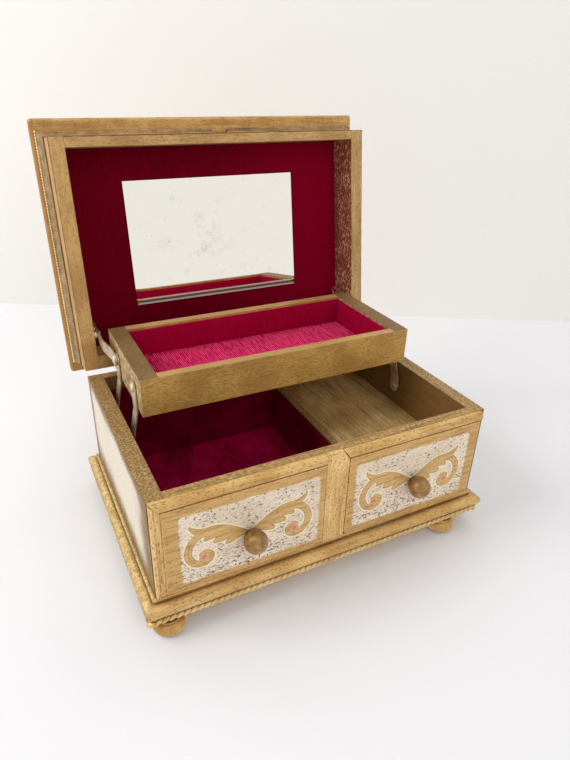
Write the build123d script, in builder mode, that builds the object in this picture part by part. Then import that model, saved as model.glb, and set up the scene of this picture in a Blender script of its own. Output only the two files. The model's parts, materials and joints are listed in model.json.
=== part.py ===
from build123d import *
import math
import os

# Musical jewelry box, shown open: the lid leans back past upright and the tray stands raised on its links.
# Floor at Z = 0, front towards -Y, X = 0 on the middle of the case.
# Y = 0 lies midway between the tip of the front knobs and the back of the open lid.

# Case
case_width = 240.0
case_depth = 160.0
rim_height = 70.5
side_wall = 10.5
front_wall_thickness = 6.5
back_wall_thickness = 7.0
board_thickness = 4.0
velvet = 1.0

# Base moulding round the foot of the case
base_height = 17.0
base_top_bead = 1.15
base_top_reach = 2.2
base_roll_radius = 4.4
base_roll_reach = 7.9
base_roll_drop = 7.9
base_low_bead = 2.3
base_low_reach = 5.6
base_lip_height = 4.0
base_lip_width = 10.0

# Feet
foot_height = 10.0
foot_radius = 10.7
foot_sole_radius = 6.5
foot_collar_radius = 7.4
foot_collar_height = 1.6
foot_inset_left = 7.0
foot_inset_right = 22.5

# Compartments
divider_thickness = 5.5
compartment_from_right = 89.0
divider_height = 33.0
shelf_thickness = 3.0
lining_side_height = 46.0
lining_back_height = 68.0
lining_divider_drop = 1.0
partition_thickness = 4.0

# Front of the case
front_thickness = 3.0
front_edge_radius = 0.7
front_foot_gap = 1.0
strip_height = 7.5
strip_depth = 4.2
strip_land = 1.2
stile_width = 6.0
stile_depth = 2.6
stile_bead = 1.2
stile_margin = 0.5
centre_stile_width = 16.3
centre_stile_depth = 3.2
centre_stile_edge = 0.7
mitre_run = 4.7

# Drawer
drawer_from_back = 78.0
drawer_wall = 5.0
drawer_bottom_thickness = 3.0
drawer_side_clearance = 0.5
drawer_top_clearance = 0.8
drawer_foot_clearance = 0.3
runner_width = 8.0
runner_above_moulding = 0.5
drawer_rim_drop = 2.0
drawer_front_margin = 4.0
drawer_front_foot_gap = 2.6
drawer_front_gap = 0.4
drawer_seat_gap = 0.3

# Knobs
knob_radius = 7.4
knob_neck_radius = 3.4
knob_neck_length = 0.9
knob_height = 28.3
knob_left_offset = 0.3
knob_right_offset = 2.2
knob_screw_radius = 1.8
knob_screw_grip = 7.0
knob_screw_relief = 1.0
knob_screw_head_radius = 3.2
knob_screw_head_height = 1.5
knob_spigot_radius = 2.5
knob_spigot_length = 5.0
screw_clearance = 0.05

# Lid
lid_lean = 8.46
hinge_offset = 2.7
lid_seat_gap = 0.2
lid_side_margin = 2.3
lid_shift = 2.0
lid_front_margin = 2.2
lid_frame_height = 28.0
lid_side_rail = 10.2
lid_back_rail_width = 9.9
lid_front_rail_width = 6.9
plate_thickness = 8.5
plate_side_overhang = 7.4
plate_back_overhang = 7.9
plate_front_overhang = 13.1
plate_corner_radius = 2.5
plate_edge_radius = 2.4
lid_strip_height = 9.6
lid_strip_reach = 4.6
lid_strip_edge = 1.0
lid_strip_bead = 1.2
lid_strip_hollow = 0.8
notch_x = 8.2
notch_width = 13.0
notch_land = 0.8
notch_radius = 3.0
lid_pad_inset = 0.3
mirror_width = 140.4
mirror_height = 93.5
mirror_thickness = 2.6
mirror_bevel_width = 5.0
mirror_bevel_drop = 1.3
mirror_from_edge = 38.2
mirror_x = -2.0

# Tray, raised
tray_end_gap = 8.05
tray_depth = 87.8
tray_height = 26.2
tray_end_thickness = 11.9
tray_side_thickness = 6.5
tray_bottom_thickness = 3.0
tray_lining_drop = 2.0
tray_rise = 35.9
tray_from_back = 46.0

# Lifting links
leg_lean = 3.0
leg_rise = 44.0
leg_width = 9.0
link_thickness = 1.0
leg_splay = 4.4
leg_bend_start = 8.0
leg_bend_run = 20.0
pivot_below_top = 12.4
pivot_from_back = 26.5
pivot_spacing = 44.7
pivot_radius = 1.5
pivot_clearance = 0.06
link_gap = 0.4
collar_radius = 2.8
collar_gap = 0.2
rivet_head_radius = 3.0
rivet_head_height = 0.9
pin_grip = 6.0
bar_width = 9.0
bar_splay = 3.2
bar_bend_start = 7.0
bar_bend_run = 16.0
bar_slot_travel = 11.5
bar_slot_lead = 0.6
bar_slot_clearance = 0.8
bar_pin_from_hinge = 27.6
bar_pin_depth = 6.0

# Hinges
hinge_from_end = 48.0
hinge_length = 30.0
hinge_leaf_height = 18.0
hinge_leaf_thickness = 1.0
hinge_leaf_clear = 2.6
knuckle_radius = 2.1
knuckle_gap = 0.3
hinge_pin_radius = 1.0
hinge_screw_radius = 1.2
hinge_screw_grip = 5.0
hinge_screw_head_radius = 2.3
hinge_screw_head_height = 0.8
hinge_screw_spacing = 18.0
hinge_screw_drop = 11.0

# Musical movement
bedplate_length = 56.0
bedplate_width = 48.0
bedplate_thickness = 2.0
bedplate_from_divider = 8.0
bedplate_from_partition = 6.0
barrel_inset_x = 14.0
barrel_inset_y = 24.0
barrel_radius = 9.0
barrel_foot_gap = 0.5
barrel_height = 14.0
gear_radius = 12.5
gear_thickness = 1.4
gear_teeth = 36
gear_tooth_height = 1.0
gear_tooth_width = 1.0
crown_teeth = 30
crown_tooth_height = 1.0
crown_tooth_width = 0.7
crown_tooth_length = 2.6
crown_mesh_radius = 11.0
crown_mesh_depth = 0.4
arbor_radius = 2.0
arbor_clearance = 0.08
key_hole_radius = 3.2
key_hub_gap = 0.6
key_hub_radius = 3.4
key_hub_height = 4.5
key_wing_width = 20.0
key_wing_height = 7.0
key_wing_thickness = 2.2
cylinder_radius = 5.5
cylinder_length = 22.0
cylinder_gap = 0.4
cylinder_pin_height = 0.8
cylinder_pin_radius = 0.3
cylinder_pin_columns = 9
cylinder_pins_round = 5
cylinder_arbor_radius = 1.2
pinion_tip_radius = 4.9
pinion_teeth = 12
pinion_tooth_height = 0.9
pinion_tooth_width = 0.6
pinion_length = 2.2
bearing_thickness = 1.4
bearing_width = 6.0
bearing_offset = 14.2
comb_tines = 18
comb_tine_length = 9.0
comb_tine_width = 0.8
comb_base_depth = 7.0
comb_thickness = 1.4
comb_tip_gap = 0.3
comb_screw_radius = 1.1
comb_screw_head_radius = 2.0
comb_screw_head_height = 1.0
comb_screw_grip = 5.0
frame_screw_radius = 1.4
frame_screw_head_radius = 2.7
frame_screw_head_height = 1.2
frame_screw_inset = 4.0
bearing_shoulder = 3.0
cylinder_pin_twist = 23.0
cylinder_pin_root = 0.5
tooth_root = 0.2
fly_end_gap = 0.2
key_wing_hole = 1.6
key_wing_waist = 4.0
fly_axis_distance = 15.4
fly_pinion_tip = 2.5
fly_teeth = 6
fly_tooth_height = 0.8
fly_tooth_width = 0.6
fly_vane_radius = 5.0
fly_vane_foot = 3.0
fly_vane_height = 7.0
fly_vane_thickness = 0.8
fly_disc_radius = 4.4
fly_disc_thickness = 0.8
fly_shaft_radius = 0.7
governor_plate = 1.2
governor_width = 5.0
governor_height = 22.2
governor_back_gap = 0.9
governor_reach = 2.0
stop_wire_bracket_gap = 0.4
stop_wire_radius = 0.9
stop_wire_travel = 3.0
stop_wire_bend = 4.0
stop_wire_from_wall = 6.0
stop_wire_clearance = 0.3

# Levels, faces and axes that follow from the sizes
base_z = foot_height
deck_z = base_z + base_height
rim_z = deck_z + rim_height
wall_z = base_z + base_lip_height
board_z = wall_z + board_thickness
shelf_z = deck_z + divider_height
bay_top = shelf_z - shelf_thickness
lean = math.radians(lid_lean)
lid_width = case_width + 2 * lid_side_margin
lid_depth = case_depth + lid_front_margin
lid_total = lid_frame_height + plate_thickness
plate_far = hinge_offset + lid_depth + plate_front_overhang
knob_ball_sink = knob_radius - math.sqrt(knob_radius**2 - knob_neck_radius**2)
knob_reach = knob_neck_length + 2 * knob_radius - knob_ball_sink
front_reach = case_depth / 2 + front_thickness + knob_reach
back_reach = case_depth / 2 + hinge_offset + plate_far * math.sin(lean) + lid_total * math.cos(lean)
case_y = (front_reach - back_reach) / 2
left_x = -case_width / 2
right_x = case_width / 2
front_y = case_y - case_depth / 2
back_y = case_y + case_depth / 2
inner_left = left_x + side_wall
inner_right = right_x - side_wall
inner_front = front_y + front_wall_thickness
inner_back = back_y - back_wall_thickness
divider_left = right_x - compartment_from_right
divider_right = divider_left + divider_thickness
face_y = front_y - front_thickness
strip_z = rim_z - strip_height
centre_stile_right = centre_stile_width / 2
hinge_y = back_y + hinge_offset
knob_z = deck_z + knob_height
knob_left_x = left_x / 2 + knob_left_offset
knob_right_x = right_x / 2 + knob_right_offset
hinge_x = right_x - hinge_from_end

drawer_left = divider_right + drawer_side_clearance
drawer_right = inner_right - drawer_side_clearance
runner_z = deck_z + runner_above_moulding
drawer_foot = runner_z + drawer_foot_clearance
drawer_top = bay_top - drawer_top_clearance
drawer_back_y = back_y - drawer_from_back
drawer_seat_y = front_y - drawer_seat_gap
partition_y = drawer_back_y + drawer_side_clearance

tray_top = rim_z + tray_rise
tray_foot = tray_top - tray_height
tray_width = case_width - 2 * side_wall - 2 * tray_end_gap
tray_half = tray_width / 2
tray_y = back_y - tray_from_back
tray_front_y = tray_y - tray_depth / 2
tray_back_y = tray_y + tray_depth / 2
pivot_z = tray_top - pivot_below_top
rear_pivot_y = tray_back_y - pivot_from_back
front_pivot_y = rear_pivot_y - pivot_spacing
leg_length = math.hypot(leg_lean, leg_rise)
leg_foot_z = pivot_z - leg_rise
leg_near = tray_half + link_gap
leg_far = leg_near + leg_splay
bar_near = leg_near + link_thickness + link_gap
bar_far = bar_near + bar_splay
lid_inner = lid_width / 2 - lid_side_rail
pivot_bore = pivot_radius + pivot_clearance

bed_left = divider_right + bedplate_from_divider
bed_front = partition_y + partition_thickness + bedplate_from_partition
bed_z = board_z + bedplate_thickness
barrel_x = bed_left + barrel_inset_x
barrel_y = bed_front + barrel_inset_y
gear_z = bed_z + barrel_height
cylinder_z = gear_z - crown_tooth_height + crown_mesh_depth - pinion_tip_radius
pinion_x = barrel_x + crown_mesh_radius - pinion_length / 2
bearing_x = barrel_x + bearing_offset
cylinder_x = bearing_x + bearing_thickness + cylinder_gap
bearing_far_x = cylinder_x + cylinder_length + cylinder_gap
comb_tip_y = barrel_y + cylinder_radius + cylinder_pin_height + comb_tip_gap
comb_base_y = comb_tip_y + comb_tine_length
fly_y = barrel_y - fly_axis_distance
fly_pinion_z = gear_z - governor_plate / 2
fly_disc_z = gear_z + gear_thickness + governor_plate / 2
wire_x = inner_right - stop_wire_from_wall
wire_y = inner_back + stop_wire_radius + stop_wire_clearance
wire_arm_z = fly_disc_z + fly_disc_thickness + stop_wire_clearance + stop_wire_travel + stop_wire_radius

lid_plane = Plane(
    origin=(lid_shift, hinge_y, rim_z),
    x_dir=(1, 0, 0),
    z_dir=(0, -math.cos(lean), math.sin(lean)),
)
lid_up = Vector(0, math.sin(lean), math.cos(lean))
lid_in = Vector(0, math.cos(lean), -math.sin(lean))


def rect(x0, x1, y0, y1):
    # rectangle between two corners, in the sketch that is open
    with Locations(((x0 + x1) / 2, (y0 + y1) / 2)):
        Rectangle(x1 - x0, y1 - y0)


def circles(points, radius):
    with Locations(*points):
        Circle(radius)


def facing(y):
    # upright plane that looks to the front, with local axes X and Z
    return Plane.XZ.offset(-y)


def across(x):
    # upright plane that looks to the right, with local axes Y and Z
    return Plane.YZ.offset(x)


def lid_point(x, up, depth):
    # x from the lid's own middle, up from the hinge axis along the lid, depth into the lid
    return Vector(lid_shift + x, hinge_y, rim_z) + lid_up * up + lid_in * depth


def lid_face(depth):
    # plane along the lid, with local axes X from the lid's middle and distance from the hinge axis
    return lid_plane.offset(-depth)


def lid_cross(up):
    # plane square to the lid's length, with local axes X from the lid's middle and depth
    return Plane(origin=lid_point(0, up, 0), x_dir=(1, 0, 0), z_dir=lid_up)


def lid_side(x):
    # plane that looks to the left, with local axes distance from the hinge axis and depth
    return Plane(origin=lid_point(x, 0, 0), x_dir=lid_up, z_dir=(-1, 0, 0))


def finish(piece, name):
    piece.part.label = name
    export_step(piece.part, f"parts/{name}.step")


os.makedirs("parts", exist_ok=True)

# Feet: four turned buns, glued and doweled under the base moulding
with BuildPart() as foot:
    with BuildSketch(Plane.XZ):
        with BuildLine():
            Polyline(
                (0, 0),
                (0, base_z),
                (foot_collar_radius, base_z),
                (foot_collar_radius, base_z - foot_collar_height),
                (foot_sole_radius, base_z - foot_collar_height),
            )
            ThreePointArc(
                (foot_sole_radius, base_z - foot_collar_height),
                (foot_radius, (base_z - foot_collar_height) / 2),
                (foot_sole_radius, 0),
            )
            Line((foot_sole_radius, 0), (0, 0))
        make_face()
    revolve(axis=Axis.Z)

foot_left_x = left_x + foot_inset_left
foot_right_x = right_x - foot_inset_right
with BuildPart() as feet:
    with Locations(
        (foot_left_x, front_y),
        (foot_right_x, front_y),
        (foot_left_x, back_y),
        (foot_right_x, back_y),
    ):
        add(foot.part)
finish(feet, "feet")


# Base moulding: four mitred strips with a lip that carries the walls
def base_profile(edge, side):
    # section of the strip; edge is the wall's face and side the way that the strip stands out
    roll_x = base_roll_reach - base_roll_radius
    roll_z = deck_z - base_roll_drop
    top_x = base_top_reach - base_top_bead
    rise = math.sqrt(base_roll_radius**2 - (top_x - roll_x) ** 2)
    low_x = roll_x + base_roll_radius * math.cos(math.pi / 3)
    low_z = roll_z - base_roll_radius * math.sin(math.pi / 3)
    bead_x = base_low_reach - base_low_bead
    with BuildSketch() as profile:
        with BuildLine():
            Line((edge, deck_z), (edge + side * top_x, deck_z))
            ThreePointArc(
                (edge + side * top_x, deck_z),
                (edge + side * base_top_reach, deck_z - base_top_bead),
                (edge + side * top_x, deck_z - 2 * base_top_bead),
            )
            Line((edge + side * top_x, deck_z - 2 * base_top_bead), (edge + side * top_x, roll_z + rise))
            ThreePointArc(
                (edge + side * top_x, roll_z + rise),
                (edge + side * base_roll_reach, roll_z),
                (edge + side * low_x, low_z),
            )
            Line((edge + side * low_x, low_z), (edge + side * bead_x, base_z + 2 * base_low_bead))
            ThreePointArc(
                (edge + side * bead_x, base_z + 2 * base_low_bead),
                (edge + side * base_low_reach, base_z + base_low_bead),
                (edge + side * bead_x, base_z),
            )
            Polyline(
                (edge + side * bead_x, base_z),
                (edge - side * base_lip_width, base_z),
                (edge - side * base_lip_width, wall_z),
                (edge, wall_z),
                (edge, deck_z),
            )
        make_face()
    return profile.sketch


def base_cross_strip(edge, side):
    # strip along the front or back
    with BuildPart() as strip:
        with BuildSketch(across(left_x - base_roll_reach)):
            add(base_profile(edge, side))
        extrude(amount=case_width + 2 * base_roll_reach)
        split(bisect_by=Plane(origin=(left_x, edge, 0), z_dir=(1, side, 0)), keep=Keep.TOP)
        split(bisect_by=Plane(origin=(right_x, edge, 0), z_dir=(-1, side, 0)), keep=Keep.TOP)
    return strip


base_moulding_front = base_cross_strip(front_y, -1)
finish(base_moulding_front, "base_moulding_front")
base_moulding_back = base_cross_strip(back_y, 1)
finish(base_moulding_back, "base_moulding_back")

with BuildPart() as base_moulding_sides:
    with BuildSketch(facing(back_y + base_roll_reach)):
        add(base_profile(left_x, -1))
    extrude(amount=case_depth + 2 * base_roll_reach)
    split(bisect_by=Plane(origin=(left_x, front_y, 0), z_dir=(-1, 1, 0)), keep=Keep.TOP)
    split(bisect_by=Plane(origin=(left_x, back_y, 0), z_dir=(-1, -1, 0)), keep=Keep.TOP)
    mirror(about=Plane.YZ)
finish(base_moulding_sides, "base_moulding_sides")


# Case walls
leg_foot_points = [(pivot_y - leg_lean, leg_foot_z) for pivot_y in (front_pivot_y, rear_pivot_y)]


def side_wall_board(side):
    with BuildPart() as wall:
        with BuildSketch(across(side * (case_width / 2 - side_wall))):
            rect(front_y, back_y, wall_z, rim_z)
        extrude(amount=side * side_wall)
        with BuildSketch(across(side * (case_width / 2 - side_wall))):
            circles(leg_foot_points, pivot_radius + screw_clearance)
        extrude(amount=side * pin_grip, mode=Mode.SUBTRACT)
    return wall


left_wall = side_wall_board(-1)
finish(left_wall, "left_wall")
right_wall = side_wall_board(1)
finish(right_wall, "right_wall")

with BuildPart() as front_wall:
    with BuildSketch(facing(inner_front)):
        rect(inner_left, inner_right, wall_z, rim_z)
        with Locations(((divider_right + inner_right) / 2, (runner_z + bay_top) / 2)):
            Rectangle(inner_right - divider_right, bay_top - runner_z, mode=Mode.SUBTRACT)
    extrude(amount=front_wall_thickness)
    with BuildSketch(facing(front_y)):
        circles([(knob_left_x, knob_z)], knob_spigot_radius + screw_clearance)
    extrude(amount=-(knob_spigot_length - front_thickness), mode=Mode.SUBTRACT)
finish(front_wall, "front_wall")

hinge_screw_columns = [
    side * hinge_x + step * hinge_screw_spacing / 2 for side in (-1, 1) for step in (-1, 1)
]
body_screw_points = [(x, rim_z - hinge_screw_drop) for x in hinge_screw_columns]
lid_screw_points = [(x - lid_shift, hinge_screw_drop) for x in hinge_screw_columns]
with BuildPart() as back_wall:
    with BuildSketch(facing(back_y)):
        rect(inner_left, inner_right, wall_z, rim_z)
    extrude(amount=back_wall_thickness)
    with BuildSketch(Plane.XY.offset(board_z)):
        groove = stop_wire_radius + stop_wire_clearance
        rect(wire_x - groove, wire_x + groove, inner_back, inner_back + 2 * groove)
    extrude(amount=rim_z - board_z, mode=Mode.SUBTRACT)
    with BuildSketch(facing(back_y)):
        circles(body_screw_points, hinge_screw_radius + screw_clearance)
    extrude(amount=hinge_screw_grip, mode=Mode.SUBTRACT)
finish(back_wall, "back_wall")

frame_screw_points = [
    (bed_left + frame_screw_inset, bed_front + bedplate_width - frame_screw_inset),
    (bed_left + bedplate_length - frame_screw_inset, bed_front + frame_screw_inset),
]
with BuildPart() as bottom_board:
    with BuildSketch(Plane.XY.offset(wall_z)):
        rect(inner_left, inner_right, inner_front, inner_back)
    extrude(amount=board_thickness)
    with BuildSketch(Plane.XY.offset(wall_z)):
        circles([(barrel_x, barrel_y)], key_hole_radius)
        circles(frame_screw_points, frame_screw_radius + screw_clearance)
    extrude(amount=board_thickness, mode=Mode.SUBTRACT)
finish(bottom_board, "bottom_board")

# Inner boards
with BuildPart() as divider:
    with BuildSketch(Plane.XY.offset(board_z)):
        rect(divider_left, divider_right, inner_front, inner_back)
    extrude(amount=shelf_z - board_z)
finish(divider, "divider")

with BuildPart() as compartment_floor:
    with BuildSketch(Plane.XY.offset(bay_top)):
        rect(divider_right, inner_right, inner_front, inner_back)
    extrude(amount=shelf_thickness)
finish(compartment_floor, "compartment_floor")

with BuildPart() as partition:
    with BuildSketch(Plane.XY.offset(board_z)):
        rect(divider_right, inner_right, partition_y, partition_y + partition_thickness)
    extrude(amount=bay_top - board_z)
finish(partition, "partition")

with BuildPart() as drawer_runners:
    with BuildSketch(Plane.XY.offset(board_z)):
        rect(divider_right, divider_right + runner_width, inner_front, partition_y)
        rect(inner_right - runner_width, inner_right, inner_front, partition_y)
    extrude(amount=runner_z - board_z)
finish(drawer_runners, "drawer_runners")

with BuildPart() as left_lining:
    with BuildSketch(Plane.XY.offset(board_z)):
        rect(inner_left, divider_left, inner_front, inner_back)
    extrude(amount=velvet)
    with BuildSketch(Plane.XY.offset(board_z)):
        rect(inner_left, inner_left + velvet, inner_front, inner_back)
        rect(inner_left, divider_left, inner_front, inner_front + velvet)
    extrude(amount=lining_side_height)
    with BuildSketch(Plane.XY.offset(board_z)):
        rect(inner_left, divider_left, inner_back - velvet, inner_back)
    extrude(amount=lining_back_height)
    with BuildSketch(Plane.XY.offset(board_z)):
        rect(divider_left - velvet, divider_left, inner_front, inner_back)
    extrude(amount=shelf_z - board_z - lining_divider_drop)
finish(left_lining, "left_lining")

# Front of the case: dummy drawer front, stiles and half round strip
panel_left = left_x + stile_margin + stile_width
with BuildPart() as false_drawer_front:
    with BuildSketch(facing(front_y)):
        rect(panel_left, -centre_stile_right, deck_z + front_foot_gap, strip_z)
    extrude(amount=front_thickness)
    fillet(false_drawer_front.faces().sort_by(Axis.Y)[0].edges(), front_edge_radius)
    with BuildSketch(facing(face_y)):
        circles([(knob_left_x, knob_z)], knob_spigot_radius + screw_clearance)
    extrude(amount=-front_thickness, mode=Mode.SUBTRACT)
finish(false_drawer_front, "false_drawer_front")

stile_corner = Plane(
    origin=(left_x + stile_margin, front_y, rim_z),
    z_dir=(strip_height, 0, stile_width),
)
with BuildPart() as corner_stile:
    with BuildSketch(Plane.XY.offset(deck_z + front_foot_gap)):
        rect(left_x + stile_margin, panel_left, front_y - stile_depth, front_y)
        circles([(left_x + stile_margin + stile_bead, front_y - stile_depth)], stile_bead)
    extrude(amount=rim_z - deck_z - front_foot_gap)
    split(bisect_by=stile_corner, keep=Keep.BOTTOM)
finish(corner_stile, "corner_stile")


def strip_profile(back):
    # half round with a flat land, standing out to strip_depth from the wall's face
    with BuildSketch() as profile:
        with BuildLine():
            Polyline(
                (front_y - strip_land, strip_z),
                (back, strip_z),
                (back, rim_z),
                (front_y - strip_land, rim_z),
            )
            ThreePointArc(
                (front_y - strip_land, rim_z),
                (front_y - strip_depth, (strip_z + rim_z) / 2),
                (front_y - strip_land, strip_z),
            )
        make_face()
    return profile.sketch


with BuildPart() as top_strip:
    with BuildSketch(across(left_x + stile_margin)):
        add(strip_profile(front_y))
    extrude(amount=-centre_stile_right - left_x - stile_margin)
    split(bisect_by=stile_corner, keep=Keep.TOP)
finish(top_strip, "top_strip")

with BuildPart() as centre_stile:
    with BuildSketch(facing(front_y)):
        with BuildLine():
            Polyline(
                (-centre_stile_right, deck_z + front_foot_gap),
                (centre_stile_right, deck_z + front_foot_gap),
                (centre_stile_right, strip_z),
                (centre_stile_right - mitre_run, rim_z),
                (-centre_stile_right, rim_z),
                close=True,
            )
        make_face()
    extrude(amount=centre_stile_depth)
    upright_edges = centre_stile.faces().sort_by(Axis.Y)[0].edges().filter_by(Axis.Z)
    fillet(upright_edges, centre_stile_edge)
finish(centre_stile, "centre_stile")


# Knobs: a ball on a short neck
def turned_knob(x):
    knob_plane = Plane(origin=(x, face_y, knob_z), x_dir=(0, -1, 0), z_dir=(1, 0, 0))
    ball_centre = knob_neck_length - knob_ball_sink + knob_radius
    with BuildPart() as knob:
        with BuildSketch(knob_plane):
            with BuildLine():
                Polyline((0, 0), (0, knob_neck_radius), (knob_neck_length, knob_neck_radius))
                ThreePointArc(
                    (knob_neck_length, knob_neck_radius),
                    (ball_centre, knob_radius),
                    (ball_centre + knob_radius, 0),
                )
                Line((ball_centre + knob_radius, 0), (0, 0))
            make_face()
        revolve(axis=Axis((x, face_y, knob_z), (0, -1, 0)))
    return knob


with BuildPart() as false_drawer_knob:
    add(turned_knob(knob_left_x).part)
    with BuildSketch(facing(face_y)):
        circles([(knob_left_x, knob_z)], knob_spigot_radius)
    extrude(amount=-knob_spigot_length)
finish(false_drawer_knob, "false_drawer_knob")

with BuildPart() as drawer_knob:
    add(turned_knob(knob_right_x).part)
    with BuildSketch(facing(face_y)):
        circles([(knob_right_x, knob_z)], knob_screw_radius + screw_clearance)
    extrude(amount=knob_screw_grip, mode=Mode.SUBTRACT)
finish(drawer_knob, "drawer_knob")

# Drawer
drawer_block_y = front_y + drawer_wall
drawer_slab = front_thickness - drawer_seat_gap
with BuildPart() as drawer_front:
    with BuildSketch(facing(drawer_seat_y)):
        rect(
            centre_stile_right + drawer_front_gap,
            right_x - drawer_front_margin,
            deck_z + drawer_front_foot_gap,
            strip_z,
        )
    extrude(amount=drawer_slab)
    fillet(drawer_front.faces().sort_by(Axis.Y)[0].edges(), front_edge_radius)
    with BuildSketch(facing(drawer_block_y)):
        rect(drawer_left + drawer_wall, drawer_right - drawer_wall, drawer_foot, drawer_top - drawer_rim_drop)
    extrude(amount=drawer_wall + drawer_seat_gap)
    with BuildSketch(facing(drawer_seat_y)):
        circles([(knob_right_x, knob_z)], knob_screw_radius + screw_clearance)
    extrude(amount=drawer_slab, mode=Mode.SUBTRACT)
    with BuildSketch(facing(drawer_seat_y)):
        circles([(knob_right_x, knob_z)], knob_screw_head_radius + screw_clearance)
    extrude(amount=knob_screw_head_height, mode=Mode.SUBTRACT)
finish(drawer_front, "drawer_front")

with BuildPart() as knob_screw:
    with BuildSketch(facing(drawer_seat_y)):
        circles([(knob_right_x, knob_z)], knob_screw_head_radius)
    extrude(amount=knob_screw_head_height)
    with BuildSketch(facing(drawer_seat_y - knob_screw_head_height)):
        circles([(knob_right_x, knob_z)], knob_screw_radius)
    extrude(amount=drawer_slab - knob_screw_head_height + knob_screw_grip - knob_screw_relief)
finish(knob_screw, "knob_screw")

drawer_strip_left = centre_stile_right + drawer_front_gap
drawer_mitre = Plane(
    origin=(drawer_strip_left, front_y, strip_z),
    z_dir=(strip_height, 0, mitre_run),
)
with BuildPart() as drawer_top_strip:
    with BuildSketch(across(drawer_strip_left - mitre_run)):
        add(strip_profile(drawer_seat_y))
    extrude(amount=right_x - drawer_front_margin - drawer_strip_left + mitre_run)
    split(bisect_by=drawer_mitre, keep=Keep.TOP)
finish(drawer_top_strip, "drawer_top_strip")

with BuildPart() as drawer_sides:
    with BuildSketch(Plane.XY.offset(drawer_foot)):
        rect(drawer_left, drawer_left + drawer_wall, drawer_seat_y, drawer_back_y - drawer_wall)
        rect(drawer_right - drawer_wall, drawer_right, drawer_seat_y, drawer_back_y - drawer_wall)
    extrude(amount=drawer_top - drawer_foot)
finish(drawer_sides, "drawer_sides")

with BuildPart() as drawer_back:
    with BuildSketch(Plane.XY.offset(drawer_foot)):
        rect(drawer_left, drawer_right, drawer_back_y - drawer_wall, drawer_back_y)
    extrude(amount=drawer_top - drawer_foot)
finish(drawer_back, "drawer_back")

with BuildPart() as drawer_bottom:
    with BuildSketch(Plane.XY.offset(drawer_foot)):
        rect(
            drawer_left + drawer_wall,
            drawer_right - drawer_wall,
            drawer_block_y,
            drawer_back_y - drawer_wall,
        )
    extrude(amount=drawer_bottom_thickness)
finish(drawer_bottom, "drawer_bottom")

with BuildPart() as drawer_lining:
    with BuildSketch(Plane.XY.offset(drawer_foot + drawer_bottom_thickness)):
        rect(
            drawer_left + drawer_wall,
            drawer_right - drawer_wall,
            drawer_block_y,
            drawer_back_y - drawer_wall,
        )
    extrude(amount=drawer_top - drawer_rim_drop - drawer_foot - drawer_bottom_thickness)
    with BuildSketch(Plane.XY.offset(drawer_foot + drawer_bottom_thickness + velvet)):
        rect(
            drawer_left + drawer_wall + velvet,
            drawer_right - drawer_wall - velvet,
            drawer_block_y + velvet,
            drawer_back_y - drawer_wall - velvet,
        )
    extrude(amount=drawer_top, mode=Mode.SUBTRACT)
finish(drawer_lining, "drawer_lining")


# Lid frame
def lid_side_board(side):
    with BuildPart() as rail:
        with BuildSketch(lid_side(side * lid_inner)):
            rect(hinge_offset, hinge_offset + lid_depth, lid_seat_gap, lid_frame_height)
        extrude(amount=-side * lid_side_rail)
        with BuildSketch(lid_side(side * lid_inner)):
            circles([(bar_pin_from_hinge, bar_pin_depth)], pivot_radius + screw_clearance)
        extrude(amount=-side * pin_grip, mode=Mode.SUBTRACT)
    return rail


lid_left_rail = lid_side_board(-1)
finish(lid_left_rail, "lid_left_rail")
lid_right_rail = lid_side_board(1)
finish(lid_right_rail, "lid_right_rail")

with BuildPart() as lid_back_rail:
    with BuildSketch(lid_side(lid_inner)):
        rect(hinge_offset, hinge_offset + lid_back_rail_width, lid_seat_gap, lid_frame_height)
    extrude(amount=2 * lid_inner)
    with BuildSketch(lid_cross(hinge_offset)):
        circles(lid_screw_points, hinge_screw_radius + screw_clearance)
    extrude(amount=hinge_screw_grip, mode=Mode.SUBTRACT)
finish(lid_back_rail, "lid_back_rail")

lid_front_edge = hinge_offset + lid_depth
with BuildPart() as lid_front_rail:
    with BuildSketch(lid_side(lid_inner)):
        rect(lid_front_edge - lid_front_rail_width, lid_front_edge, lid_seat_gap, lid_frame_height)
    extrude(amount=2 * lid_inner)
finish(lid_front_rail, "lid_front_rail")

# Top plate with softened corners and edges
plate_half = lid_width / 2 + plate_side_overhang
plate_near = hinge_offset - plate_back_overhang
with BuildPart() as lid_plate:
    with BuildSketch(lid_face(lid_frame_height)):
        with Locations((0, (plate_near + plate_far) / 2)):
            RectangleRounded(2 * plate_half, plate_far - plate_near, plate_corner_radius)
    extrude(amount=-plate_thickness)
    fillet(lid_plate.faces().sort_by(SortBy.AREA)[-2:].edges(), plate_edge_radius)
finish(lid_plate, "lid_plate")


# Moulding strips in the corner between the lid frame and the plate
def lid_strip_profile(plane, edge, side):
    # cove and bead; edge is the frame's face and side the way that the strip stands out
    near = lid_frame_height - lid_strip_height
    bead_x = lid_strip_reach - lid_strip_bead
    bead_start = lid_frame_height - 2 * lid_strip_bead
    cove_x = (lid_strip_edge + bead_x) / 2 - lid_strip_hollow
    with BuildSketch(plane) as profile:
        with BuildLine():
            Polyline(
                (edge, lid_frame_height),
                (edge, near),
                (edge + side * lid_strip_edge, near),
            )
            ThreePointArc(
                (edge + side * lid_strip_edge, near),
                (edge + side * cove_x, (near + bead_start) / 2),
                (edge + side * bead_x, bead_start),
            )
            ThreePointArc(
                (edge + side * bead_x, bead_start),
                (edge + side * lid_strip_reach, lid_frame_height - lid_strip_bead),
                (edge + side * bead_x, lid_frame_height),
            )
            Line((edge + side * bead_x, lid_frame_height), (edge, lid_frame_height))
        make_face()
    return profile.sketch


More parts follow.
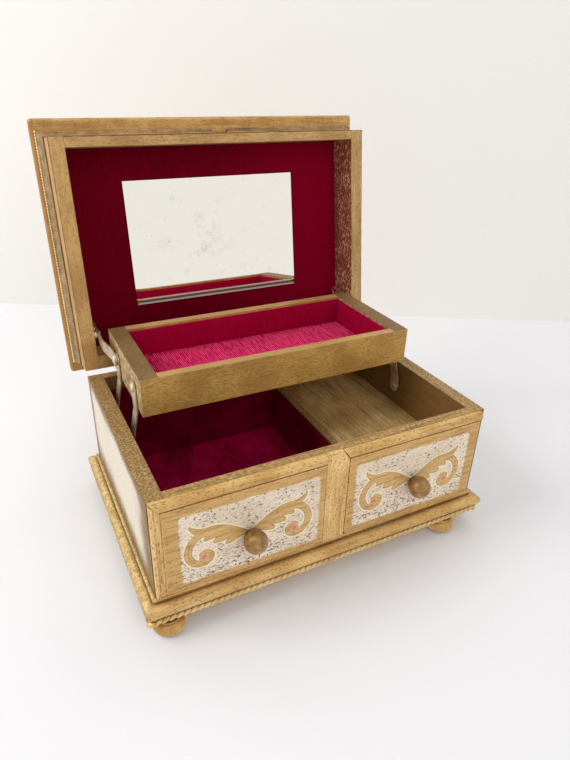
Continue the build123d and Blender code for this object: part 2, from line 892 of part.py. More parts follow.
lid_half = lid_width / 2
lid_corner = lid_point(-lid_half, lid_front_edge, 0)
with BuildPart() as lid_moulding_front:
    extrude(
        lid_strip_profile(lid_side(lid_half + lid_strip_reach), lid_front_edge, 1),
        amount=lid_width + 2 * lid_strip_reach,
    )
    split(bisect_by=Plane(origin=lid_corner, z_dir=lid_up + Vector(1, 0, 0)), keep=Keep.TOP)
    split(
        bisect_by=Plane(
            origin=lid_point(lid_half, lid_front_edge, 0),
            z_dir=lid_up - Vector(1, 0, 0),
        ),
        keep=Keep.TOP,
    )
    with BuildSketch(lid_face(lid_frame_height - lid_strip_height)):
        with Locations((notch_x, lid_front_edge + notch_land + notch_radius)):
            SlotOverall(notch_width, 2 * notch_radius)
    extrude(amount=-lid_strip_height, mode=Mode.SUBTRACT)
finish(lid_moulding_front, "lid_moulding_front")

with BuildPart() as lid_moulding_sides:
    extrude(
        lid_strip_profile(lid_cross(hinge_offset), -lid_half, -1),
        amount=lid_depth + lid_strip_reach,
    )
    split(bisect_by=Plane(origin=lid_corner, z_dir=lid_up + Vector(1, 0, 0)), keep=Keep.BOTTOM)
    mirror(about=across(lid_shift))
finish(lid_moulding_sides, "lid_moulding_sides")

# Velvet panel and bevelled mirror inside the lid
pad_depth = lid_frame_height - velvet
with BuildPart() as lid_lining:
    with BuildSketch(lid_face(pad_depth)):
        rect(
            -lid_inner + lid_pad_inset,
            lid_inner - lid_pad_inset,
            hinge_offset + lid_back_rail_width + lid_pad_inset,
            lid_front_edge - lid_front_rail_width - lid_pad_inset,
        )
    extrude(amount=-velvet)
finish(lid_lining, "lid_lining")

mirror_near = hinge_offset + mirror_from_edge
with BuildPart() as lid_mirror:
    with BuildSketch(lid_face(pad_depth)):
        rect(
            mirror_x - mirror_width / 2,
            mirror_x + mirror_width / 2,
            mirror_near,
            mirror_near + mirror_height,
        )
    extrude(amount=mirror_thickness)
    mirror_face = lid_mirror.faces().filter_by(Axis(lid_point(0, 0, 0), lid_in)).sort_by(Axis.Y)[0]
    chamfer(mirror_face.edges(), mirror_bevel_width, mirror_bevel_drop, reference=mirror_face)
finish(lid_mirror, "lid_mirror")

# Tray
with BuildPart() as tray_ends:
    with BuildSketch(Plane.XY.offset(tray_foot)):
        rect(tray_half - tray_end_thickness, tray_half, tray_front_y, tray_back_y)
    extrude(amount=tray_height)
    with BuildSketch(across(tray_half)):
        circles([(front_pivot_y, pivot_z), (rear_pivot_y, pivot_z)], pivot_radius + screw_clearance)
    extrude(amount=-pin_grip, mode=Mode.SUBTRACT)
    mirror(about=Plane.YZ)
finish(tray_ends, "tray_ends")

tray_inner = tray_half - tray_end_thickness
with BuildPart() as tray_sides:
    with BuildSketch(Plane.XY.offset(tray_foot)):
        rect(-tray_inner, tray_inner, tray_front_y, tray_front_y + tray_side_thickness)
        rect(-tray_inner, tray_inner, tray_back_y - tray_side_thickness, tray_back_y)
    extrude(amount=tray_height)
finish(tray_sides, "tray_sides")

with BuildPart() as tray_bottom:
    with BuildSketch(Plane.XY.offset(tray_foot)):
        rect(
            -tray_inner,
            tray_inner,
            tray_front_y + tray_side_thickness,
            tray_back_y - tray_side_thickness,
        )
    extrude(amount=tray_bottom_thickness)
finish(tray_bottom, "tray_bottom")

with BuildPart() as tray_lining:
    with BuildSketch(Plane.XY.offset(tray_foot + tray_bottom_thickness)):
        rect(
            -tray_inner,
            tray_inner,
            tray_front_y + tray_side_thickness,
            tray_back_y - tray_side_thickness,
        )
    extrude(amount=tray_height - tray_bottom_thickness - tray_lining_drop)
    with BuildSketch(Plane.XY.offset(tray_foot + tray_bottom_thickness + velvet)):
        rect(
            -tray_inner + velvet,
            tray_inner - velvet,
            tray_front_y + tray_side_thickness + velvet,
            tray_back_y - tray_side_thickness - velvet,
        )
    extrude(amount=tray_height, mode=Mode.SUBTRACT)
finish(tray_lining, "tray_lining")


# Lifting links: four legs, two bars between the tray and the lid, and what they turn on
def bent_link(start, end, width, near, far, bend_start, bend_run):
    # flat strap from start to end, both given as Y and Z, which steps over from X = near to X = far
    reach = Vector(0, end[0] - start[0], end[1] - start[1])
    along = reach.normalized()
    link_plane = Plane(
        origin=(0, start[0], start[1]),
        x_dir=(1, 0, 0),
        z_dir=Vector(1, 0, 0).cross(along),
    )
    tip = reach.length + width / 2
    bend_end = bend_start + bend_run
    with BuildPart() as link:
        with BuildSketch(link_plane):
            with BuildLine():
                Polyline(
                    (near, -width / 2),
                    (near, bend_start),
                    (far, bend_end),
                    (far, tip),
                    (far + link_thickness, tip),
                    (far + link_thickness, bend_end),
                    (near + link_thickness, bend_start),
                    (near + link_thickness, -width / 2),
                    close=True,
                )
            make_face()
        extrude(amount=width / 2, both=True)
        with BuildSketch(across(min(near, far))):
            with Locations(((start[0] + end[0]) / 2, (start[1] + end[1]) / 2)):
                SlotCenterToCenter(reach.length, width, rotation=math.degrees(math.atan2(reach.Z, reach.Y)))
        extrude(amount=abs(far - near) + link_thickness, mode=Mode.INTERSECT)
    return link


def leg_pair(pivot_y):
    foot_point = (pivot_y - leg_lean, leg_foot_z)
    top_point = (pivot_y, pivot_z)
    with BuildPart() as legs:
        add(bent_link(foot_point, top_point, leg_width, leg_far, leg_near, leg_bend_start, leg_bend_run).part)
        with BuildSketch(across(leg_near)):
            circles([foot_point, top_point], pivot_bore)
        extrude(amount=leg_splay + link_thickness, mode=Mode.SUBTRACT)
        mirror(about=Plane.YZ)
    return legs


front_legs = leg_pair(front_pivot_y)
finish(front_legs, "front_legs")
rear_legs = leg_pair(rear_pivot_y)
finish(rear_legs, "rear_legs")

bar_pin = lid_point(0, bar_pin_from_hinge, bar_pin_depth)
bar_reach = Vector(0, bar_pin.Y - rear_pivot_y, bar_pin.Z - pivot_z)
bar_along = bar_reach.normalized()
bar_angle = math.degrees(math.atan2(bar_along.Z, bar_along.Y))
slot_start = bar_reach.length - bar_slot_lead
slot_end = bar_reach.length + bar_slot_travel


def bar_point(distance):
    return (rear_pivot_y + bar_along.Y * distance, pivot_z + bar_along.Z * distance)


with BuildPart() as lid_bars:
    add(
        bent_link(
            bar_point(0),
            bar_point(slot_end),
            bar_width,
            bar_near,
            bar_far,
            bar_bend_start,
            bar_bend_run,
        ).part
    )
    with BuildSketch(across(bar_near)):
        circles([bar_point(0)], pivot_bore)
        with Locations(bar_point((slot_start + slot_end) / 2)):
            SlotCenterToCenter(
                slot_end - slot_start,
                2 * (pivot_radius + bar_slot_clearance),
                rotation=bar_angle,
            )
    extrude(amount=bar_splay + link_thickness, mode=Mode.SUBTRACT)
    mirror(about=Plane.YZ)
finish(lid_bars, "lid_bars")


def stepped_pins(points, left_steps, right_steps):
    # round pins along X, each step given as radius, near face and far face from the middle of the case
    with BuildPart() as pins:
        for side, steps in ((-1, left_steps), (1, right_steps)):
            for radius, near, far in steps:
                with BuildSketch(across(side * near)):
                    circles(points, radius)
                extrude(amount=side * (far - near))
    return pins


def shoulder_steps(link_x, seat_x):
    # head, shoulder through the link, collar and shank in the wood, whose face is at seat_x
    head_x = link_x - collar_gap
    collar_x = link_x + link_thickness + collar_gap
    return (
        (rivet_head_radius, head_x - rivet_head_height, head_x),
        (pivot_radius, head_x, collar_x),
        (collar_radius, collar_x, seat_x),
        (pivot_radius, seat_x, seat_x + pin_grip),
    )


leg_screw_steps = shoulder_steps(leg_far, inner_right)
leg_screws = stepped_pins(leg_foot_points, leg_screw_steps, leg_screw_steps)
finish(leg_screws, "leg_screws")

lid_bar_pins = stepped_pins(
    [(bar_pin.Y, bar_pin.Z)],
    shoulder_steps(bar_far, lid_inner - lid_shift),
    shoulder_steps(bar_far, lid_inner + lid_shift),
)
finish(lid_bar_pins, "lid_bar_pins")

front_head = leg_near + link_thickness + collar_gap
rear_head = bar_near + link_thickness + collar_gap
with BuildPart() as tray_rivets:
    for pivot_y, head in ((front_pivot_y, front_head), (rear_pivot_y, rear_head)):
        with BuildSketch(across(tray_half - pin_grip)):
            circles([(pivot_y, pivot_z)], pivot_radius)
        extrude(amount=head - tray_half + pin_grip)
        with BuildSketch(across(head)):
            circles([(pivot_y, pivot_z)], rivet_head_radius)
        extrude(amount=rivet_head_height)
    mirror(about=Plane.YZ)
finish(tray_rivets, "tray_rivets")

# Two butt hinges behind the lid; the middle knuckle turns with the lid
knuckle_length = (hinge_length - 2 * knuckle_gap) / 3
knuckle_step = knuckle_length + knuckle_gap
hinge_start = hinge_x - hinge_length / 2
hinge_end = hinge_start + hinge_length
leaf_face = hinge_offset - hinge_leaf_thickness
leaf_outer_y = back_y + hinge_leaf_thickness

with BuildPart() as hinge_body_leaves:
    with BuildSketch(facing(leaf_outer_y)):
        rect(hinge_start, hinge_end, rim_z - hinge_leaf_height, rim_z - hinge_leaf_clear)
    extrude(amount=hinge_leaf_thickness)
    for start in (hinge_start, hinge_start + 2 * knuckle_step):
        with BuildSketch(across(start)):
            rect(back_y, leaf_outer_y, rim_z - hinge_leaf_clear, rim_z)
            circles([(hinge_y, rim_z)], knuckle_radius)
        extrude(amount=knuckle_length)
    mirror(about=Plane.YZ)
    with BuildSketch(across(-hinge_end)):
        circles([(hinge_y, rim_z)], hinge_pin_radius + pivot_clearance)
    extrude(amount=2 * hinge_end, mode=Mode.SUBTRACT)
    with BuildSketch(facing(leaf_outer_y)):
        circles(body_screw_points, hinge_screw_radius + screw_clearance)
    extrude(amount=hinge_leaf_thickness, mode=Mode.SUBTRACT)
finish(hinge_body_leaves, "hinge_body_leaves")

with BuildPart() as hinge_lid_leaves:
    with BuildSketch(lid_cross(leaf_face)):
        rect(hinge_start - lid_shift, hinge_end - lid_shift, hinge_leaf_clear, hinge_leaf_height)
    extrude(amount=hinge_leaf_thickness)
    with BuildSketch(lid_side(hinge_start + knuckle_step + knuckle_length - lid_shift)):
        rect(leaf_face, hinge_offset, 0, hinge_leaf_clear)
        circles([(0, 0)], knuckle_radius)
    extrude(amount=knuckle_length)
    mirror(about=Plane.YZ)
    with BuildSketch(lid_side(hinge_end - lid_shift)):
        circles([(0, 0)], hinge_pin_radius + pivot_clearance)
    extrude(amount=2 * hinge_end, mode=Mode.SUBTRACT)
    with BuildSketch(lid_cross(leaf_face)):
        circles(lid_screw_points, hinge_screw_radius + screw_clearance)
    extrude(amount=hinge_leaf_thickness, mode=Mode.SUBTRACT)
finish(hinge_lid_leaves, "hinge_lid_leaves")

with BuildPart() as hinge_pins:
    with BuildSketch(across(hinge_start)):
        circles([(hinge_y, rim_z)], hinge_pin_radius)
    extrude(amount=hinge_length)
    mirror(about=Plane.YZ)
finish(hinge_pins, "hinge_pins")

with BuildPart() as hinge_body_screws:
    with BuildSketch(facing(leaf_outer_y + hinge_screw_head_height)):
        circles(body_screw_points, hinge_screw_head_radius)
    extrude(amount=hinge_screw_head_height)
    with BuildSketch(facing(leaf_outer_y)):
        circles(body_screw_points, hinge_screw_radius)
    extrude(amount=hinge_leaf_thickness + hinge_screw_grip)
finish(hinge_body_screws, "hinge_body_screws")

with BuildPart() as hinge_lid_screws:
    with BuildSketch(lid_cross(leaf_face - hinge_screw_head_height)):
        circles(lid_screw_points, hinge_screw_head_radius)
    extrude(amount=hinge_screw_head_height)
    with BuildSketch(lid_cross(leaf_face)):
        circles(lid_screw_points, hinge_screw_radius)
    extrude(amount=hinge_leaf_thickness + hinge_screw_grip)
finish(hinge_lid_screws, "hinge_lid_screws")


# Musical movement behind the drawer
def gear_outline(centre, tip_radius, tooth_height, tooth_width, teeth, start_angle):
    # toothed wheel in the sketch that is open
    root_radius = tip_radius - tooth_height
    circles([centre], root_radius)
    with Locations(centre):
        with PolarLocations(root_radius + (tooth_height - tooth_root) / 2, teeth, start_angle):
            Rectangle(tooth_height + tooth_root, tooth_width)


comb_z = cylinder_z - comb_thickness / 2
comb_far_x = cylinder_x + cylinder_length
comb_back_y = comb_base_y + comb_base_depth
comb_pitch = cylinder_length / comb_tines
comb_screw_points = [
    (cylinder_x + cylinder_length * share, comb_base_y + comb_base_depth / 2) for share in (0.2, 0.8)
]
cylinder_centre = (barrel_y, cylinder_z)
bearing_end = bearing_far_x + bearing_thickness
with BuildPart() as movement_bedplate:
    with BuildSketch(Plane.XY.offset(board_z)):
        rect(bed_left, bed_left + bedplate_length, bed_front, bed_front + bedplate_width)
    extrude(amount=bedplate_thickness)
    with BuildSketch(Plane.XY.offset(bed_z)):
        rect(cylinder_x, comb_far_x, comb_base_y, comb_back_y)
    extrude(amount=comb_z - bed_z)
    for post_x in (bearing_x, bearing_far_x):
        with BuildSketch(across(post_x)):
            rect(
                barrel_y - bearing_width / 2,
                barrel_y + bearing_width / 2,
                bed_z,
                cylinder_z + bearing_shoulder,
            )
        extrude(amount=bearing_thickness)
    with BuildSketch(across(bearing_x)):
        circles([cylinder_centre], cylinder_arbor_radius + arbor_clearance)
    extrude(amount=bearing_end - bearing_x, mode=Mode.SUBTRACT)
    with BuildSketch(Plane.XY.offset(board_z)):
        circles([(barrel_x, barrel_y)], arbor_radius + arbor_clearance)
        circles(frame_screw_points, frame_screw_radius + screw_clearance)
    extrude(amount=bedplate_thickness, mode=Mode.SUBTRACT)
    with BuildSketch(Plane.XY.offset(comb_z)):
        circles(comb_screw_points, comb_screw_radius + screw_clearance)
    extrude(amount=comb_thickness - comb_screw_grip, mode=Mode.SUBTRACT)
finish(movement_bedplate, "movement_bedplate")

gear_tip = gear_radius + gear_tooth_height
gear_top = gear_z + gear_thickness
with BuildPart() as spring_barrel:
    with BuildSketch(Plane.XY.offset(bed_z + barrel_foot_gap)):
        circles([(barrel_x, barrel_y)], barrel_radius)
    extrude(amount=gear_z - bed_z - barrel_foot_gap)
    with BuildSketch(Plane.XY.offset(gear_z)):
        gear_outline(
            (barrel_x, barrel_y),
            gear_tip,
            gear_tooth_height,
            gear_tooth_width,
            gear_teeth,
            180 / gear_teeth,
        )
    extrude(amount=gear_thickness)
    with BuildSketch(Plane.XY.offset(gear_z)):
        with Locations((barrel_x, barrel_y)):
            with PolarLocations(crown_mesh_radius, crown_teeth, 180 / crown_teeth):
                Rectangle(crown_tooth_length, crown_tooth_width)
    extrude(amount=-crown_tooth_height)
    with BuildSketch(Plane.XY.offset(bed_z)):
        circles([(barrel_x, barrel_y)], arbor_radius + arbor_clearance)
    extrude(amount=gear_top - bed_z, mode=Mode.SUBTRACT)
finish(spring_barrel, "spring_barrel")

key_hub_top = wall_z - key_hub_gap
key_hub_foot = key_hub_top - key_hub_height
wing_radius = key_wing_height / 2
wing_z = key_hub_foot - wing_radius
wing_points = [(barrel_x + side * (key_wing_width / 2 - wing_radius), wing_z) for side in (-1, 1)]
with BuildPart() as winding_key:
    with BuildSketch(Plane.XY.offset(key_hub_foot)):
        circles([(barrel_x, barrel_y)], key_hub_radius)
    extrude(amount=key_hub_height)
    with BuildSketch(Plane.XY.offset(key_hub_top)):
        circles([(barrel_x, barrel_y)], arbor_radius)
    extrude(amount=gear_top - key_hub_top)
    with BuildSketch(facing(barrel_y + key_wing_thickness / 2)):
        circles(wing_points, wing_radius)
        with Locations((barrel_x, (key_hub_foot + wing_z - key_wing_waist / 2) / 2)):
            Rectangle(key_wing_width - key_wing_height, key_hub_foot - wing_z + key_wing_waist / 2)
        with Locations(*wing_points):
            Circle(key_wing_hole, mode=Mode.SUBTRACT)
    extrude(amount=key_wing_thickness)
finish(winding_key, "winding_key")

pin_planes = []
for column in range(cylinder_pin_columns):
    for turn in range(cylinder_pins_round):
        pin_angle = math.radians(360 * turn / cylinder_pins_round + cylinder_pin_twist * column)
        pin_out = Vector(0, math.cos(pin_angle), math.sin(pin_angle))
        pin_x = cylinder_x + comb_pitch * (2 * column + 0.5)
        pin_foot = Vector(pin_x, barrel_y, cylinder_z) + pin_out * (cylinder_radius - cylinder_pin_root)
        pin_planes.append(Plane(origin=pin_foot, x_dir=(1, 0, 0), z_dir=pin_out))

with BuildPart() as music_cylinder:
    with BuildSketch(across(cylinder_x)):
        circles([cylinder_centre], cylinder_radius)
    extrude(amount=cylinder_length)
    with BuildSketch(across(pinion_x)):
        circles([cylinder_centre], cylinder_arbor_radius)
    extrude(amount=bearing_end - pinion_x)
    with BuildSketch(across(pinion_x)):
        gear_outline(
            cylinder_centre,
            pinion_tip_radius,
            pinion_tooth_height,
            pinion_tooth_width,
            pinion_teeth,
            0,
        )
    extrude(amount=pinion_length)
    with BuildSketch(*pin_planes):
        Circle(cylinder_pin_radius)
    extrude(amount=cylinder_pin_root + cylinder_pin_height)
finish(music_cylinder, "music_cylinder")

tine_points = [
    (cylinder_x + comb_pitch * (tine + 0.5), comb_tip_y + comb_tine_length / 2) for tine in range(comb_tines)
]
with BuildPart() as comb:
    with BuildSketch(Plane.XY.offset(comb_z)):
        rect(cylinder_x, comb_far_x, comb_base_y, comb_back_y)
        with Locations(*tine_points):
            Rectangle(comb_tine_width, comb_tine_length)
        with Locations(*comb_screw_points):
            Circle(comb_screw_radius + screw_clearance, mode=Mode.SUBTRACT)
    extrude(amount=comb_thickness)
finish(comb, "comb")

governor_back_y = fly_y - fly_vane_radius - governor_back_gap - governor_plate
governor_top = bed_z + governor_height
fly_centre = (barrel_x, fly_y)
with BuildPart() as governor_bracket:
    with BuildSketch(across(barrel_x - governor_width / 2)):
        rect(governor_back_y, governor_back_y + governor_plate, bed_z, governor_top)
        rect(governor_back_y, fly_y + governor_reach, bed_z, bed_z + governor_plate)
        rect(governor_back_y, fly_y + governor_reach, governor_top - governor_plate, governor_top)
    extrude(amount=governor_width)
    with BuildSketch(Plane.XY.offset(bed_z)):
        circles([fly_centre], fly_shaft_radius + arbor_clearance)
    extrude(amount=governor_height, mode=Mode.SUBTRACT)
finish(governor_bracket, "governor_bracket")

with BuildPart() as governor_fly:
    with BuildSketch(Plane.XY.offset(bed_z + fly_end_gap)):
        circles([fly_centre], fly_shaft_radius)
    extrude(amount=governor_height - fly_end_gap)
    with BuildSketch(Plane.XY.offset(fly_pinion_z)):
        gear_outline(
            fly_centre,
            fly_pinion_tip,
            fly_tooth_height,
            fly_tooth_width,
            fly_teeth,
            180 / fly_teeth,
        )
    extrude(amount=fly_disc_z - fly_pinion_z)
    with BuildSketch(Plane.XY.offset(fly_disc_z)):
        circles([fly_centre], fly_disc_radius)
    extrude(amount=fly_disc_thickness)
    with BuildSketch(Plane.XY.offset(bed_z + fly_vane_foot)):
        with Locations(fly_centre):
            Rectangle(2 * fly_vane_radius, fly_vane_thickness)
    extrude(amount=fly_vane_height)
finish(governor_fly, "governor_fly")

# Stop wire: the shut lid pushes it down onto the governor's disc
wire_top = (wire_x, wire_y, rim_z + stop_wire_travel)
with BuildPart() as stop_wire:
    with BuildLine() as wire_path:
        FilletPolyline(
            wire_top,
            (wire_x, wire_y, wire_arm_z),
            (wire_x, fly_y, wire_arm_z),
            (barrel_x + governor_width / 2 + stop_wire_bracket_gap, fly_y, wire_arm_z),
            radius=stop_wire_bend,
        )
    with BuildSketch(Plane(origin=wire_top, z_dir=(0, 0, -1))):
        Circle(stop_wire_radius)
    sweep(path=wire_path.wire())
finish(stop_wire, "stop_wire")

with BuildPart() as movement_screws:
    with BuildSketch(Plane.XY.offset(wall_z)):
        circles(frame_screw_points, frame_screw_head_radius)
    extrude(amount=-frame_screw_head_height)
    with BuildSketch(Plane.XY.offset(wall_z)):
        circles(frame_screw_points, frame_screw_radius)
    extrude(amount=bed_z - wall_z)
    with BuildSketch(Plane.XY.offset(comb_z + comb_thickness)):
        circles(comb_screw_points, comb_screw_head_radius)
    extrude(amount=comb_screw_head_height)
    with BuildSketch(Plane.XY.offset(comb_z + comb_thickness)):
        circles(comb_screw_points, comb_screw_radius)
    extrude(amount=-comb_screw_grip)
finish(movement_screws, "movement_screws")
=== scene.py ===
import json
import math

import bmesh
import bpy
import numpy as np
from mathutils import Matrix, Vector


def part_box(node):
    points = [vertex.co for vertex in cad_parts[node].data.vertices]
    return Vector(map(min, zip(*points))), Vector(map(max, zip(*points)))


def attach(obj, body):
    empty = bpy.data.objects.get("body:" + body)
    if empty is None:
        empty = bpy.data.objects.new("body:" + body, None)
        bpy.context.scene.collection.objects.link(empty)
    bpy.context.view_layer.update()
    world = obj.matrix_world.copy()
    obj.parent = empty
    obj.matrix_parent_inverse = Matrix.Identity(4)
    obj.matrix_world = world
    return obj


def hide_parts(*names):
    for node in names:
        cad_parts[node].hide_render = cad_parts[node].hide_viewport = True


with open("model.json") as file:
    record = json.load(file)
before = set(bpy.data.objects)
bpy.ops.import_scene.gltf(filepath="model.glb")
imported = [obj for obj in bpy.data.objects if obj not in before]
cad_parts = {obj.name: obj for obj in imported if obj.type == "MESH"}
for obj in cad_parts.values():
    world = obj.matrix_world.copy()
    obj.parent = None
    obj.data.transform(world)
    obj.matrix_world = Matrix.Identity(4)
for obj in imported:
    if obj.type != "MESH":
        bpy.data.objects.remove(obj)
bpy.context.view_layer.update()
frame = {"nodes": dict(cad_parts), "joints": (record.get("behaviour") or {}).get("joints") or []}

nodes = frame["nodes"]
scene = bpy.context.scene
mm = 0.001

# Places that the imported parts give
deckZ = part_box("base_moulding_front")[1].z
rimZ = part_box("left_wall")[1].z
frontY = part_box("front_wall")[0].y
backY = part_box("back_wall")[1].y
caseY = (frontY + backY) / 2
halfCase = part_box("right_wall")[1].x
lidJoint = next(joint for joint in frame["joints"] if joint["name"] == "lid_hinge")
lidLean = math.radians(lidJoint["range_deg"][1] - 90)
lidUp = Vector((0, math.sin(lidLean), math.cos(lidLean)))
lidIn = Vector((0, math.cos(lidLean), -math.sin(lidLean)))


def leanedBox(node):
    # lowest and highest along the lid's own directions: right, up the lid, into the lid
    points = np.array([v.co for v in nodes[node].data.vertices])
    own = np.stack([points[:, 0], points @ np.array(lidUp), points @ np.array(lidIn)], axis=1)
    return own.min(0), own.max(0)


railLeft, railTop = leanedBox("lid_left_rail")[0][0], leanedBox("lid_front_rail")[1][1]
railRight = leanedBox("lid_right_rail")[1][0]
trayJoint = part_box("tray_sides")[1].x
print("frame loaded:", len(nodes), "nodes")


# Camera, fitted to the photograph's viewing angle
cameraLook = {
    "x": -0.17057, "fromMiddle": -0.33216, "aboveDeck": 0.27974,
    "yaw": 27.72, "pitch": 28.09, "roll": 1.77,
    "lens": 28.07, "sensor": 36.0, "nearest": 10 * mm,
}
cameraData = bpy.data.cameras.new("camera")
cameraData.lens = cameraLook["lens"]
cameraData.sensor_width = cameraLook["sensor"]
cameraData.clip_start = cameraLook["nearest"]
camera = bpy.data.objects.new("camera", cameraData)
scene.collection.objects.link(camera)
camera.matrix_world = (
    Matrix.Translation(
        (cameraLook["x"], caseY + cameraLook["fromMiddle"], deckZ + cameraLook["aboveDeck"])
    )
    @ Matrix.Rotation(-math.radians(cameraLook["yaw"]), 4, "Z")
    @ Matrix.Rotation(math.radians(90 - cameraLook["pitch"]), 4, "X")
    @ Matrix.Rotation(math.radians(cameraLook["roll"]), 4, "Z")
)
scene.camera = camera
scene.view_settings.view_transform = "Standard"


# Node tree helpers
def tone(red, green, blue):
    # a colour as seen on screen, 0 to 255, as the linear colour that a socket takes
    steps = [value / 255 for value in (red, green, blue)]
    return (*[s / 12.92 if s < 0.04 else ((s + 0.055) / 1.055) ** 2.4 for s in steps], 1.0)


def plug(socket, value):
    if isinstance(value, bpy.types.NodeSocket):
        socket.id_data.links.new(value, socket)
    elif value is not None:
        socket.default_value = value


def addNode(tree, kind, inputs=None, **settings):
    node = tree.nodes.new(kind)
    for key, value in settings.items():
        setattr(node, key, value)
    for key, value in (inputs or {}).items():
        plug(node.inputs[key], value)
    return node


def joinNode(kind, inputs, **settings):
    # a node in the tree of the sockets that go into it
    tree = next(value.id_data for value in inputs.values() if isinstance(value, bpy.types.NodeSocket))
    return addNode(tree, kind, inputs, **settings)


def calc(operation, first, second=None):
    return joinNode("ShaderNodeMath", {0: first, 1: second}, operation=operation).outputs[0]


def times(first, second):
    return calc("MULTIPLY", first, second)


def plus(first, second):
    return calc("ADD", first, second)


def minus(first, second):
    return calc("SUBTRACT", first, second)


def inverse(value):
    return minus(1.0, value)


def dot(vector, way):
    return joinNode("ShaderNodeVectorMath", {0: vector, 1: way}, operation="DOT_PRODUCT").outputs["Value"]


def step(value, low, high):
    # 0 below low, 1 above high, soft between
    inputs = {"Value": value, "From Min": low, "From Max": high}
    node = joinNode("ShaderNodeMapRange", inputs, interpolation_type="SMOOTHSTEP", clamp=True)
    return node.outputs["Result"]


def laid(under, over, cover, share=1.0):
    # one colour laid over another where cover is 1
    if share != 1.0:
        cover = times(cover, share)
    return joinNode("ShaderNodeMix", {0: cover, 6: under, 7: over}, data_type="RGBA").outputs[2]


def stretched(place, scale, turn=0.0):
    # turned upright first where the piece leans, then stretched
    if turn:
        place = joinNode("ShaderNodeMapping", {"Vector": place, "Rotation": (turn, 0, 0)}).outputs[0]
    return joinNode("ShaderNodeMapping", {"Vector": place, "Scale": scale}).outputs[0]


def noise(place, scale, detail=3.0, rough=0.55, distortion=0.0):
    inputs = {"Vector": place, "Scale": scale, "Detail": detail, "Roughness": rough, "Distortion": distortion}
    return joinNode("ShaderNodeTexNoise", inputs).outputs[0]


def startMaterial(name):
    material = bpy.data.materials.new(name)
    material.use_nodes = True
    tree = material.node_tree
    tree.nodes.clear()
    shader = addNode(tree, "ShaderNodeBsdfPrincipled")
    result = addNode(tree, "ShaderNodeOutputMaterial")
    tree.links.new(shader.outputs[0], result.inputs[0])
    return material, tree, shader


def setShader(shader, **values):
    # Base_Color=... goes to the socket "Base Color"
    for key, value in values.items():
        plug(shader.inputs[key.replace("_", " ")], value)


def objectPlace(tree):
    return addNode(tree, "ShaderNodeTexCoord").outputs["Object"]


def ownNormal(tree):
    # in the piece's own directions, so that it turns with the piece
    return addNode(tree, "ShaderNodeTexCoord").outputs["Normal"]


def split(vector):
    return joinNode("ShaderNodeSeparateXYZ", {0: vector}).outputs


def softEdges(tree, radius):
    # the shading normal of edges rounded by hand, and how near a point is to such an edge
    rounded = addNode(tree, "ShaderNodeBevel", {"Radius": radius}, samples=6).outputs[0]
    flat = addNode(tree, "ShaderNodeNewGeometry").outputs["Normal"]
    return rounded, inverse(dot(rounded, flat))


# ambient occlusion laid as colour: partly a dark wash in the grooves, partly painted shade in recesses and
# where parts meet
def creviceWashAndShade(tree, distance):
    inputs = {"Distance": distance}
    node = addNode(tree, "ShaderNodeAmbientOcclusion", inputs, samples=8, only_local=False)
    return step(inverse(node.outputs["AO"]), 0.25, 0.85)


def bump(height, depth, strength, normal=None):
    inputs = {"Height": height, "Distance": depth, "Strength": strength, "Normal": normal}
    return joinNode("ShaderNodeBump", inputs).outputs[0]


# Antique gold paint, brushed over wood and rubbed back. Its shades: the paint, lighter clouds, dark streaks
# brown of rubbed edges; the same brown darkens crevices, partly as a dark wash and partly as painted shade
brownRubAndShade = tone(92, 62, 34)
paleRub = tone(214, 190, 150)
# dark of the painted shadow in the gaps between the lid's rails and strips
gapShadowTone = tone(96, 66, 36)
plainGilt = {
    "across": 420.0, "length": 26.0, "turn": 0.0, "streak": 0.5,
    "fineAcross": 1700.0, "fineLength": 120.0, "grain": 0.3, "frontGrain": False,
    "cloud": 38.0, "wearSize": 38.0, "patchSize": 140.0, "mottleTop": False,
    "speck": 0.4, "speckSize": 1250.0, "dash": 0.6, "speckDepth": 0.55, "speckTone": tone(112, 76, 40),
    # edges rub through as wear; the crevice darkening is partly a dark wash, partly painted shade
    "edge": 0.7, "rub": 0.65, "rubTone": brownRubAndShade, "dirt": 0.6, "dirtReach": 3.0 * mm,
    "rough": 0.42, "metal": 0.35, "relief": 0.35, "reliefDepth": 0.16 * mm,
    "cloudRange": (0.36, 0.64), "streakRange": (0.46, 0.72),
    "grainRange": (0.5, 0.75), "wearRange": (0.36, 0.62),
}


